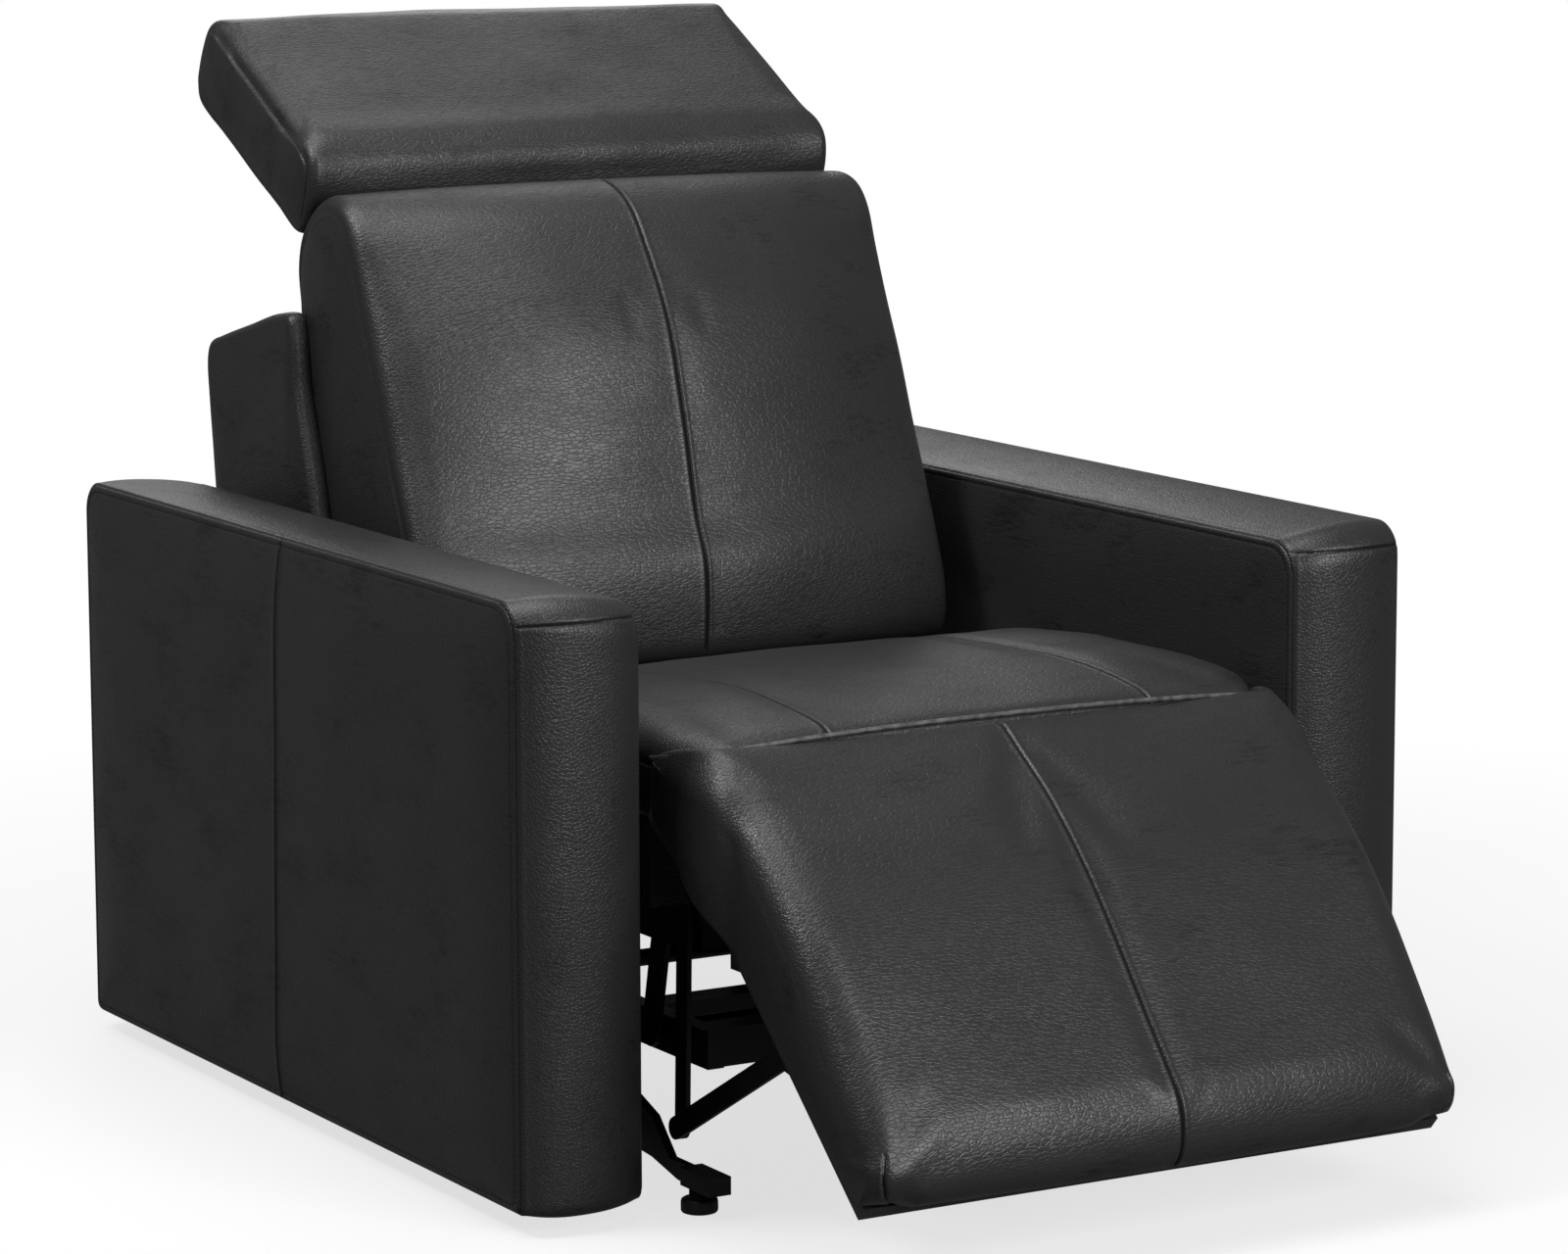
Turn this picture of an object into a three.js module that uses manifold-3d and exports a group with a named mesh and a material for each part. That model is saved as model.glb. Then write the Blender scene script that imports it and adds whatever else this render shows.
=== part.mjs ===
// A powered cinema recliner: two upholstered arm boxes stand on a steel base, and a seat with its
// back, headrest and leg rest glides between them on swinging carry links.
// Millimetres, +Z up. The sitter faces -Y. The origin lies on the floor under the middle of the part.
// Places are measured back from the plane of the arms' front seams and up from the arms' underside.
import * as THREE from "three";
import { mergeVertices } from "three/addons/utils/BufferGeometryUtils.js";
import Module from "manifold-3d";

const wasm = await Module();
wasm.setup();

// The whole chair
const floorGap = 22; // from the floor to the underside of the arms
const armFront = -370; // where the plane of the arms' front seams lies
const innerWidth = 747; // between the inner seams of the two arms
const innerSeam = innerWidth / 2;
// How far in from the arms' inner seams each piece between them stands
const fromArms = {
  rail: 123.5,
  plate: 94.5,
  legBlock: 73.5,
  leg: 65.5,
  foot: 61.5,
  backCushion: 56.5,
  headrest: 55.5,
  legBoard: 51.5,
  bridge: 48.5,
  legPad: 42.5,
  deck: 38.5,
  shell: 29.5,
  seat: 28.5,
};
const steel = 5; // thickness of links and side plates
const layerPitch = 7; // from one flat link to the next beside it
const fit = 0.3; // gap between pieces that rest on each other
const running = 0.6; // gap round a turning pin or shaft
const overrun = 4; // how far a cutting tool passes the face it cuts
const fixedSteps = 16; // flats on a pin, shaft or hole

// Arm boxes
const arm = {
  height: 580,
  depth: 990,
  thickness: 131,
  cover: 9, // foam and leather over the timber
  sideBulge: 7.5,
  frontCrown: 17,
  crownPower: 3,
  topCrown: 5,
  rearCrown: 8,
  topCorner: 32,
  footCorner: 8,
  innerDrop: 11, // the top slopes down to the inner seam
  timber: 45,
  rise: 120, // how far in from its edge a side panel reaches its full bulge
};

// Steel base
const rail = { front: 60, length: arm.depth - 130, bottom: 98, height: 38, width: 18, inner: innerSeam - fromArms.rail };
const crossTube = { front: 64, depth: 34 };
const bearer = { front: 325, rear: arm.depth - 155, depth: 36, height: 36 };
const leg = { inner: innerSeam - fromArms.leg, thickness: 9, rise: 34, reach: 150, toe: 40, heel: 16, blockBottom: 2, blockHeight: 18 };
const legBlock = { inner: innerSeam - fromArms.legBlock, width: 24 };
const foot = { x: innerSeam - fromArms.foot, frontY: 0, rearY: arm.depth - 137, disc: 18, discHeight: 14, stem: 10, sides: 20 };

// Seat frame, which all other moving pieces hang on
const plate = { inner: innerSeam - fromArms.plate, front: 49, rear: 585, bottom: 215, top: 345 };
const plateNotch = { front: 505, rear: 545, bottom: 258, top: 290 }; // where the back's tie pins swing
const seatTube = { front: 50, rear: 500, depth: 30, bottom: 219, height: 32 };
const frontBoard = { y: 33, thickness: 15, bottom: 271, top: 352, halfWidth: innerSeam - fromArms.seat, slotTop: 326 };
const deck = { thickness: 9, halfWidth: innerSeam - fromArms.deck, rear: 484 };
const seatPanelSeam = 183.5; // two seams run back from the seat's front seam
const seatCushion = {
  front: -29,
  depth: 514,
  bottom: 354.6,
  height: 120,
  halfWidth: innerSeam - fromArms.seat,
  crown: 26,
  crownPower: 2.4,
  edge: 34,
  drawShare: 0.8,
  channelDepth: 4,
  channelWidth: 9,
};
const seatCushionShares = [
  [0, 0.645], [0.095, 0.85], [0.22, 0.945], [0.37, 0.99], [0.5, 1], [0.66, 0.975], [0.82, 0.92],
  [0.93, 0.82], [0.985, 0.64], [1, 0.4], [0.985, 0.12], [0.94, 0], [0.55, 0], [0.14, 0],
  [0.085, 0.13], [0.03, 0.34],
];

// Carry links: two equal swinging pairs, so that the seat glides without tilting
const carry = { length: 130, lean: 12, frontY: 160, rearY: 450, pivotZ: 117, width: 30, shaft: 9, pin: 6 };

// Leg rest: it turns about the knee centre, guided by a crank and a link of a parallelogram
const knee = { y: -145, z: 438 };
const crank = { y: 66, z: 322, width: 22, tube: 10, pin: 6, lug: 45, lugWidth: 24, lugThickness: 10 };
const bracketPin = { y: -137, z: 157 };
const legBoard = { topY: -67, topZ: 259, footY: -309, footZ: 44, thickness: 16, halfWidth: innerSeam - fromArms.legBoard };
const legPad = {
  start: -33,
  depth: 370,
  height: 92,
  halfWidth: innerSeam - fromArms.legPad,
  crown: 16,
  crownPower: 3,
  edge: 30,
  drawShare: 0.7,
  channelDepth: 4,
  channelWidth: 9,
};
const legPadShares = [
  [0.075, 0], [0.4, 0], [0.75, 0], [0.95, 0.01], [0.99, 0.25], [1, 0.6], [0.975, 0.87], [0.9, 0.985],
  [0.72, 1], [0.45, 1], [0.2, 1], [0.02, 0.99], [0, 0.8], [0.03, 0.35],
];
const legBracket = { start: 62, end: 186 };

const bridge = {
  gap: 3,
  seam: 76,
  slope: 4,
  padShare: 0.75,
  rootY: 44,
  rootZ: -45,
  chinY: 2,
  chinZ: 24,
  halfWidth: innerSeam - fromArms.bridge,
};

// Drives
const drive = { rodRadius: 7, eye: 13, eyeWidth: 6, throat: 8, slack: 2.2, pin: 5, rail: 18, railWall: 5, motorWidth: 62 };
const legDrive = { railFront: 150, motorFront: 390, motorHeight: 84, stroke: 40, swing: 13.5 };
const glideDrive = { lug: 45, railFront: 222, motorDepth: 104, motorHeight: 86, stroke: 28, swing: -6.5 };

// Back, and the struts that tip it as the seat glides
const backPivot = { y: 545, z: 315, pin: 8, boss: 24 };
const backCrank = { length: 40, width: 30, pin: 5 };
const strut = { lug: 24, width: 26, rise: 6, slack: 1.2 };
const backCushion = {
  front: 528,
  depth: 326,
  bottom: 430,
  height: 468,
  halfWidth: innerSeam - fromArms.backCushion,
  crown: 66,
  crownPower: 2.2,
  edge: 34,
  drawShare: 0.35,
  channelDepth: 5,
  channelWidth: 9,
};
const backCushionShares = [
  [0.02, 0.03], [0, 0.1], [0.01, 0.18], [0.074, 0.286], [0.153, 0.502], [0.258, 0.718], [0.387, 0.855],
  [0.5, 0.95], [0.6, 0.985], [0.72, 1], [0.84, 0.975], [0.94, 0.925], [0.985, 0.86], [0.98, 0.75],
  [0.93, 0.58], [0.84, 0.32], [0.735, 0.04], [0.66, 0], [0.4, 0], [0.1, 0],
];
const backShell = { front: 735, depth: 293, bottom: 335, height: 429, halfWidth: innerSeam - fromArms.shell, wall: 24 };
const shellTopShares = [[0.253, 1]];
const shellRearShares = [[0.891, 0.9], [0.965, 0.87], [1, 0.8], [0.985, 0.735], [0.965, 0.613], [0.905, 0.31], [0.82, 0]];
const shellFrontShares = [[0, 0], [0.034, 0.338], [0.113, 0.58], [0.222, 0.816]];
const shellRidgeShares = [[0.5, 0.965]]; // where the rear panel starts, behind the cushion
const backBoard = { footY: 762, footZ: 436, topY: 845, topZ: 742, thickness: 15 };
const backBracketRise = { z: 570, width: 34 }; // how far the brackets run up behind the board

// Headrest: a slab that tips on a ratchet hinge above the back
const headrest = { length: 290, thickness: 97, halfWidth: innerSeam - fromArms.headrest, pitch: 27.4, y: 830.5, z: 888.5 };
const headCushion = { crown: 12, crownPower: 3, edge: 26, drawShare: 0.5 };
const headCushionShares = [
  [0.03, 0], [0.3, 0], [0.7, 0], [0.97, 0], [0.995, 0.3], [1, 0.62], [0.97, 0.88], [0.88, 0.98],
  [0.6, 1], [0.3, 1], [0.1, 0.96], [0.02, 0.82], [0, 0.55], [0.005, 0.25],
];
const headBoard = { thickness: 16, inset: 6 };
const headHinge = { u: 12, w: -30, knuckle: 8, pin: 4, spread: 120, strap: 40, thickness: 4 };
const headPocket = { length: 30, depth: 34.5, width: 52 };
const headStrap = { length: 150, cross: 40, low: 640 };

// Controls
const keypad = { y: 90, z: arm.height - 83, length: 104, height: 42, proud: 2.5 };
const rocker = { length: 34, height: 24, gap: 14, thickness: 4, proud: 2, clearance: 1.2, pin: 1, journal: 2 };
const powerBox = { x: rail.inner - 140, width: 110, depth: 60, height: 44, inlet: 6, inletDepth: 14 };

const degrees = Math.PI / 180;
const atY = (behindArmFront) => armFront + behindArmFront;
const atZ = (aboveArms) => floorGap + aboveArms;
const at = (y, z) => [atY(y), atZ(z)];
const outerSeam = innerSeam + arm.thickness;

// Closed shapes from triangles, and boolean cuts and joins

const solidOf = (geometry) => {
  const bare = geometry.clone();
  bare.deleteAttribute("normal");
  bare.deleteAttribute("uv");
  const merged = mergeVertices(bare, 1e-4);
  return new wasm.Manifold(
    new wasm.Mesh({
      numProp: 3,
      vertProperties: merged.attributes.position.array,
      triVerts: new Uint32Array(merged.index.array),
    }),
  );
};

const geometryOf = (solid) => {
  const mesh = solid.getMesh();
  const geometry = new THREE.BufferGeometry();
  geometry.setAttribute("position", new THREE.BufferAttribute(mesh.vertProperties, 3));
  geometry.setIndex(new THREE.BufferAttribute(mesh.triVerts, 1));
  return geometry;
};

const join = (...shapes) => geometryOf(shapes.map(solidOf).reduce((a, b) => a.add(b)));
const cut = (shape, ...tools) => geometryOf(tools.map(solidOf).reduce((a, b) => a.subtract(b), solidOf(shape)));

// A closed surface from points and triangles, turned so that its faces point out.
const closedSurface = (points, triangles) => {
  let volume = 0;
  for (const [a, b, c] of triangles) {
    const [p, q, r] = [points[a], points[b], points[c]].map((v) => new THREE.Vector3(...v));
    volume += p.dot(q.cross(r));
  }
  const order = volume < 0 ? triangles.map(([a, b, c]) => [a, c, b]) : triangles;
  const geometry = new THREE.BufferGeometry();
  geometry.setAttribute("position", new THREE.Float32BufferAttribute(points.flat(), 3));
  geometry.setIndex(order.flat());
  return geometry;
};

// The flat face that closes a ring, with its triangles turned the way that the ring runs.
const faceOf = (ring, flatten) => {
  const flat = ring.map((p) => new THREE.Vector2(...flatten(p)));
  const faces = THREE.ShapeUtils.triangulateShape([...flat], []);
  const [p, q, r] = faces[0].map((i) => flat[i]);
  const sameWay = q.clone().sub(p).cross(r.clone().sub(p)) * THREE.ShapeUtils.area(flat) > 0;
  return sameWay ? faces : faces.map(([i, j, k]) => [i, k, j]);
};

// Rings of equal count joined into a skin, with a flat face closing each end.
const loft = (rings, flatten) => {
  const count = rings[0].length;
  const last = (rings.length - 1) * count;
  const triangles = [];
  for (let r = 0; r < last; r += count) {
    for (let i = 0; i < count; i++) {
      const [a, b] = [r + i, r + ((i + 1) % count)];
      triangles.push([a, b, a + count], [b, b + count, a + count]);
    }
  }
  triangles.push(...faceOf(rings[0], flatten).map(([a, b, c]) => [a, c, b]));
  triangles.push(...faceOf(rings.at(-1), flatten).map((face) => face.map((i) => last + i)));
  return closedSurface(rings.flat(), triangles);
};

// A piece whose outline lies in the side view, from one x to another.
const prism = (outline, x0, x1, holes = []) => {
  const ring = (points) => {
    const flat = points.map(([y, z]) => new THREE.Vector2(y, z));
    return THREE.ShapeUtils.isClockWise(flat) ? flat.reverse() : flat;
  };
  const shape = new THREE.Shape(ring(outline));
  shape.holes = holes.map((hole) => new THREE.Path(ring(hole)));
  const geometry = new THREE.ExtrudeGeometry(shape, { depth: x1 - x0, bevelEnabled: false });
  const turned = new THREE.Matrix4().makeBasis(
    new THREE.Vector3(0, 1, 0),
    new THREE.Vector3(0, 0, 1),
    new THREE.Vector3(1, 0, 0),
  );
  return geometry.applyMatrix4(turned.setPosition(x0, 0, 0));
};

const box = (x0, x1, y0, y1, z0, z1) =>
  new THREE.BoxGeometry(x1 - x0, y1 - y0, z1 - z0).translate((x0 + x1) / 2, (y0 + y1) / 2, (z0 + z1) / 2);

const arc = ([y, z], radius, from, to, steps) =>
  Array.from({ length: steps + 1 }, (_, i) => {
    const angle = (from + ((to - from) * i) / steps) * degrees;
    return [y + radius * Math.cos(angle), z + radius * Math.sin(angle)];
  });

const circle = (centre, radius) => arc(centre, radius, 0, 360, fixedSteps).slice(1);
const rodAcross = (centre, radius, x0, x1) => prism(circle(centre, radius), x0, x1);

// The outline of a flat bar with round ends.
const barOutline = (from, to, width) => {
  const angle = Math.atan2(to[1] - from[1], to[0] - from[0]) / degrees;
  const end = (centre, start) => arc(centre, width / 2, start, start + 180, fixedSteps / 2);
  return [...end(to, angle - 90), ...end(from, angle + 90)];
};

// x range of a flat piece on one side of the chair, from its inner face outwards.
const span = (side, inner, thickness) =>
  side > 0 ? [inner, inner + thickness] : [-inner - thickness, -inner];

// Layers of the linkage, from the middle outwards
const layer = {
  strut: plate.inner - 2 * layerPitch,
  carry: plate.inner - layerPitch,
  crank: plate.inner + layerPitch,
  link: plate.inner + 2 * layerPitch,
  bracket: plate.inner + 3 * layerPitch,
};

// A smooth closed outline through a few points, given as shares of a box's depth and height.
// The curve never leaves the box, so the piece lies flat on what carries it.
const softOutline = (piece, shares, count, place) => {
  const points = shares.map(([y, z]) => new THREE.Vector3(y * piece.depth, z * piece.height, 0));
  const curve = new THREE.CatmullRomCurve3(points, true, "centripetal");
  return curve
    .getSpacedPoints(count)
    .slice(0, count)
    .map((p) => [THREE.MathUtils.clamp(p.x, 0, piece.depth), THREE.MathUtils.clamp(p.y, 0, piece.height)])
    .map(([y, z]) => place(y, z));
};

// A cushion: its outline is the profile in the middle. Towards the sides the face sinks by the
// crown, the whole section draws in round the edge, and each channel presses a groove in the face.
const cushion = (outline, form) => {
  const low = [0, 1].map((i) => Math.min(...outline.map((p) => p[i])));
  const high = [0, 1].map((i) => Math.max(...outline.map((p) => p[i])));
  const centre = [(low[0] + high[0]) / 2, (low[1] + high[1]) / 2];
  const facing = new THREE.Vector2(...form.face).normalize();
  const weights = outline.map((p, i) => {
    const before = outline.at(i - 1);
    const after = outline[(i + 1) % outline.length];
    const normal = new THREE.Vector2(after[1] - before[1], before[0] - after[0]).normalize();
    const turned = THREE.ShapeUtils.isClockWise(outline.map(([y, z]) => new THREE.Vector2(y, z)));
    return THREE.MathUtils.smoothstep(turned ? -normal.dot(facing) : normal.dot(facing), 0, 0.7);
  });
  const reaches = outline.map((p) => facing.dot(new THREE.Vector2(...p)));
  const [base, top] = [Math.min(...reaches), Math.max(...reaches)];
  const ringAt = (x, drawn) => {
    const side = Math.abs(x) / form.halfWidth;
    const sunk = form.crown * Math.pow(side, form.crownPower);
    const groove = form.channels.reduce(
      (depth, channel) => depth + form.channelDepth * Math.exp(-Math.pow((x - channel) / form.channelWidth, 2)),
      0,
    );
    return outline.map((p, i) => {
      const pressed = (sunk * (reaches[i] - base)) / (top - base) + groove * weights[i];
      const inset = [0, 1].map((k) => {
        const shrunk = 1 - (2 * drawn) / (high[k] - low[k]);
        return centre[k] + (p[k] - facing.getComponent(k) * pressed - centre[k]) * shrunk;
      });
      return [x, ...inset];
    });
  };
  const stations = new Set([0]);
  for (let i = 1; i <= form.stations; i++) {
    const x = (form.halfWidth - form.edge) * (i / form.stations);
    stations.add(x).add(-x);
  }
  for (const channel of form.channels) {
    for (const step of [-1, 0, 1]) stations.add(channel + step * form.channelWidth);
  }
  const rings = [...stations].sort((a, b) => a - b).map((x) => ringAt(x, 0));
  for (const angle of [30, 60, 90]) {
    const x = form.halfWidth - form.edge * (1 - Math.sin(angle * degrees));
    const drawn = form.edge * (1 - Math.cos(angle * degrees)) * form.drawShare;
    rings.unshift(ringAt(-x, drawn));
    rings.push(ringAt(x, drawn));
  }
  return loft(rings, ([, y, z]) => [y, z]);
};

// Scene graph: one group for each body that moves as one

const part = new THREE.Group();
const bodies = {};
const finishes = {
  leather: new THREE.MeshStandardMaterial({ color: "#242424", roughness: 0.5 }),
  lining: new THREE.MeshStandardMaterial({ color: "#4a4a4a", roughness: 0.85 }),
  blackSteel: new THREE.MeshStandardMaterial({ color: "#0c0c0c", roughness: 0.5, metalness: 0.4 }),
  zinc: new THREE.MeshStandardMaterial({ color: "#8d8f92", roughness: 0.4, metalness: 0.9 }),
  timber: new THREE.MeshStandardMaterial({ color: "#b58d5c", roughness: 0.7 }),
  plastic: new THREE.MeshStandardMaterial({ color: "#151515", roughness: 0.6 }),
};

const add = (body, name, finish, geometry) => {
  bodies[body] ??= new THREE.Group();
  const mesh = new THREE.Mesh(geometry, finishes[finish]);
  mesh.name = name;
  bodies[body].add(mesh);
};

const sides = [
  ["left", 1],
  ["right", -1],
];
const ends = [
  ["front", bearer.front, foot.frontY, -1],
  ["rear", bearer.rear, foot.rearY, 1],
];

// Arm boxes: a timber ring, a padded panel on each face, and a padded band over front, top and rear

const armOutline = (inset, steps) => {
  const [front, rear, low, top] = [inset, arm.depth - inset, inset, arm.height - inset];
  const corner = (y, z, radius, from) => arc(at(y, z), radius, from, from - 90, steps);
  const upper = arm.topCorner - Math.min(inset, arm.topCorner / 2);
  const lower = arm.footCorner;
  return [
    ...corner(front + lower, low + lower, lower, 270),
    ...corner(front + upper, top - upper, upper, 180),
    ...corner(rear - upper, top - upper, upper, 90),
    ...corner(rear - lower, low + lower, lower, 0),
  ];
};

// The inner seam lies lower than the outer one, so the height shrinks a little on the way in.
const armSlope = (x, z) => {
  const inward = THREE.MathUtils.clamp((outerSeam - Math.abs(x)) / arm.thickness, 0, 1);
  return atZ(0) + (z - atZ(0)) * (1 - (arm.innerDrop / arm.height) * inward);
};

// A side panel plugs into the band, laps over its edge as far as the seam, and swells from there
// to a shallow flat middle.
const armPanel = (side, seam, outwards) => {
  const outline = armOutline(0, 4);
  const middle = at(arm.depth / 2, arm.height / 2);
  const ring = (inset, proud) =>
    outline.map(([y, z]) => {
      const [dy, dz] = [y - middle[0], z - middle[1]];
      const x = side * (seam + outwards * proud);
      const [sy, sz] = [1 - (2 * inset) / arm.depth, 1 - (2 * inset) / arm.height];
      return [x, middle[0] + dy * sy, armSlope(x, middle[1] + dz * sz)];
    });
  const rings = [
    ring(arm.cover + 2 * fit, -arm.cover),
    ring(arm.cover + 2 * fit, 0),
    ring(0, 0),
    ring(arm.rise / 6, arm.sideBulge / 2),
    ring(arm.rise / 2, (arm.sideBulge * 5) / 6),
    ring(arm.rise, arm.sideBulge),
  ];
  return loft(rings, ([, y, z]) => [y, z]);
};

const armBand = (side) => {
  const path = armOutline(0, 5).slice(6, 18);
  const [start, finish] = [at(0, 0), at(arm.depth, 0)];
  const route = [start, ...path, finish];
  const acrossShares = [0, 1 / 8, 3 / 8, 5 / 8, 7 / 8, 1];
  const [inner, outer] = [innerSeam + fit, outerSeam - fit];
  const rings = route.map(([y, z], i) => {
    const before = route[Math.max(i - 1, 0)];
    const after = route[Math.min(i + 1, route.length - 1)];
    const n = new THREE.Vector2(before[1] - after[1], after[0] - before[0]).normalize();
    const crown = Math.max(0, -n.x) * arm.frontCrown + Math.max(0, n.x) * arm.rearCrown + Math.max(0, n.y) * arm.topCrown;
    const point = (x, out) => [side * x, y + n.x * out, armSlope(x, z + n.y * out)];
    const skin = acrossShares.map((t) => point(inner + (outer - inner) * t, crown * (1 - Math.pow(Math.abs(2 * t - 1), arm.crownPower))));
    return [...skin, point(outer, -arm.cover), point(inner, -arm.cover)];
  });
  return loft(rings, ([x, y]) => [x, y]);
};

// The timber ring keeps clear of the band at its lowest, which is beside the inner seam.
const armFrame = (side) => {
  const inset = arm.cover + 2 * fit;
  const ring = (m) => armOutline(m, 4).map(([y, z]) => [y, armSlope(innerSeam, z)]);
  const [x0, x1] = span(side, innerSeam + inset, arm.thickness - 2 * inset);
  return prism(ring(inset), x0, x1, [ring(inset + arm.timber)]);
};

const keypadHole = (grow) =>
  box(
    -innerSeam - arm.cover + keypad.proud - grow,
    -innerSeam + arm.sideBulge + keypad.proud + grow,
    atY(keypad.y) - grow,
    atY(keypad.y + keypad.length) + grow,
    atZ(keypad.z) - grow,
    atZ(keypad.z + keypad.height) + grow,
  );

for (const [name, side] of sides) {
  add("base", `arm_frame_${name}`, "timber", armFrame(side));
  add("base", `arm_outer_panel_${name}`, "leather", armPanel(side, outerSeam + fit, 1));
  const inside = armPanel(side, innerSeam, -1);
  add("base", `arm_inner_panel_${name}`, "leather", side > 0 ? inside : cut(inside, keypadHole(fit)));
  add("base", `arm_band_${name}`, "leather", armBand(side));
}

// Keypad on the inner face of the sitter's right arm, with a rocker for each drive

const rockerAt = (i) => keypad.y + keypad.length / 2 + (i - 1 / 2) * (rocker.length + rocker.gap);
const keypadFace = -innerSeam + arm.sideBulge + keypad.proud;
const rockerBox = (i, grow, depth) =>
  box(
    keypadFace - depth,
    keypadFace + rocker.proud,
    atY(rockerAt(i) - rocker.length / 2 - grow),
    atY(rockerAt(i) + rocker.length / 2 + grow),
    atZ(keypad.z + keypad.height / 2 - rocker.height / 2 - grow),
    atZ(keypad.z + keypad.height / 2 + rocker.height / 2 + grow),
  );
const rockerPin = (i, grow) => {
  const reach = rocker.height + 2 * (rocker.clearance + rocker.journal + grow);
  const pin = new THREE.CylinderGeometry(rocker.pin + grow, rocker.pin + grow, reach, fixedSteps);
  pin.rotateX(Math.PI / 2);
  return pin.translate(keypadFace - rocker.thickness / 2, atY(rockerAt(i)), atZ(keypad.z + keypad.height / 2));
};
const keypadWells = [0, 1].flatMap((i) => [
  rockerBox(i, rocker.clearance, rocker.thickness + rocker.clearance),
  rockerPin(i, fit),
]);
add("base", "keypad_plate", "plastic", cut(keypadHole(0), ...keypadWells));
for (const [i, [body, name]] of [["leg_rocker", "rocker_leg_rest"], ["back_rocker", "rocker_back"]].entries()) {
  add(body, name, "plastic", join(rockerBox(i, 0, rocker.thickness), rockerPin(i, 0)));
}

// Base: two rails on two bearers, which run from arm to arm, and a leg at each corner

const railZ = [atZ(rail.bottom), atZ(rail.bottom + rail.height)];
const bearerTop = rail.bottom - fit;
const bearerZ = [atZ(bearerTop - bearer.height), atZ(bearerTop)];
const carryPivots = [carry.frontY, carry.rearY].map((y) => at(y, carry.pivotZ));

for (const [name, side] of sides) {
  const [x0, x1] = span(side, rail.inner, rail.width);
  const outline = [
    [atY(rail.front), railZ[0]],
    [atY(rail.front + rail.length), railZ[0]],
    [atY(rail.front + rail.length), railZ[1]],
    [atY(rail.front), railZ[1]],
  ];
  const holes = carryPivots.map((pivot) => circle(pivot, carry.shaft + running));
  add("base", `base_rail_${name}`, "blackSteel", prism(outline, x0, x1, holes));
}

const crossHalf = rail.inner - fit;
add(
  "base",
  "front_cross_tube",
  "blackSteel",
  box(-crossHalf, crossHalf, atY(crossTube.front), atY(crossTube.front + crossTube.depth), ...railZ),
);

const bearerHalf = innerSeam - arm.sideBulge - fit;
for (const [end, y] of ends) {
  const shape = box(-bearerHalf, bearerHalf, atY(y), atY(y + bearer.depth), ...bearerZ);
  add("base", `bearer_${end}`, "blackSteel", shape);
}

// A leg plate runs under its bearer and out to a block above the foot.
const legBlockZ = [atZ(leg.blockBottom), atZ(leg.blockBottom + leg.blockHeight)];
const legUnder = bearerTop - bearer.height - fit;
const frontLeg = [
  at(bearer.front + bearer.depth, legUnder),
  at(bearer.front - fit, legUnder),
  at(bearer.front - fit, bearerTop - leg.rise / 4),
  at(bearer.front - leg.reach, bearerTop - leg.rise / 3),
  at(leg.heel + leg.rise * 2, leg.blockBottom + leg.blockHeight + leg.rise),
  at(leg.heel + leg.rise, leg.blockBottom + leg.blockHeight),
  at(foot.frontY - leg.toe, leg.blockBottom + leg.blockHeight),
  at(foot.frontY - leg.toe, leg.blockBottom),
  at(leg.heel + leg.rise / 2, leg.blockBottom),
  at(leg.heel + leg.rise * 2, leg.blockBottom + leg.rise / 3),
  at(bearer.front - leg.reach / 2, legUnder - leg.rise),
  at(bearer.front + bearer.depth, legUnder - leg.rise),
];
const rearLeg = [
  at(bearer.rear + bearer.depth + leg.toe, legUnder),
  at(bearer.rear - leg.toe, legUnder),
  at(foot.rearY - leg.toe, leg.blockBottom),
  at(bearer.rear + bearer.depth + leg.toe, leg.blockBottom),
];
const legShapes = { front: frontLeg, rear: rearLeg };

for (const [end, , footY] of ends) {
  for (const [name, side] of sides) {
    const web = prism(legShapes[end], ...span(side, leg.inner, leg.thickness));
    const blockX = span(side, legBlock.inner, legBlock.width);
    const block = box(...blockX, atY(footY - leg.toe), atY(footY + leg.heel), ...legBlockZ);
    add("base", `leg_${end}_${name}`, "blackSteel", join(web, block));
    const disc = new THREE.CylinderGeometry(foot.disc, foot.disc, foot.discHeight, foot.sides);
    const stemHeight = atZ(leg.blockBottom) - fit;
    const stem = new THREE.CylinderGeometry(foot.stem, foot.stem, stemHeight, foot.sides);
    const stand = join(disc.translate(0, foot.discHeight / 2, 0), stem.translate(0, stemHeight / 2, 0));
    stand.rotateX(Math.PI / 2).translate(side * foot.x, atY(footY), 0);
    add("base", `foot_${end}_${name}`, "blackSteel", stand);
  }
}

// Control box of the drives, with the inlet for its cord in the rear face
const boxBottom = bearerZ[1] + fit;
const powerCase = box(
  powerBox.x,
  powerBox.x + powerBox.width,
  atY(bearer.rear + bearer.depth / 2 - powerBox.depth / 2),
  atY(bearer.rear + bearer.depth / 2 + powerBox.depth / 2),
  boxBottom,
  boxBottom + powerBox.height,
);
const inlet = new THREE.CylinderGeometry(powerBox.inlet, powerBox.inlet, 2 * powerBox.inletDepth, fixedSteps);
inlet.translate(
  powerBox.x + powerBox.width / 2,
  atY(bearer.rear + bearer.depth / 2 + powerBox.depth / 2),
  boxBottom + powerBox.height / 2,
);
add("base", "control_box", "plastic", cut(powerCase, inlet));

// Carry links: each pair is one weldment of a shaft, two links and the pins in the seat plates

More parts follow.
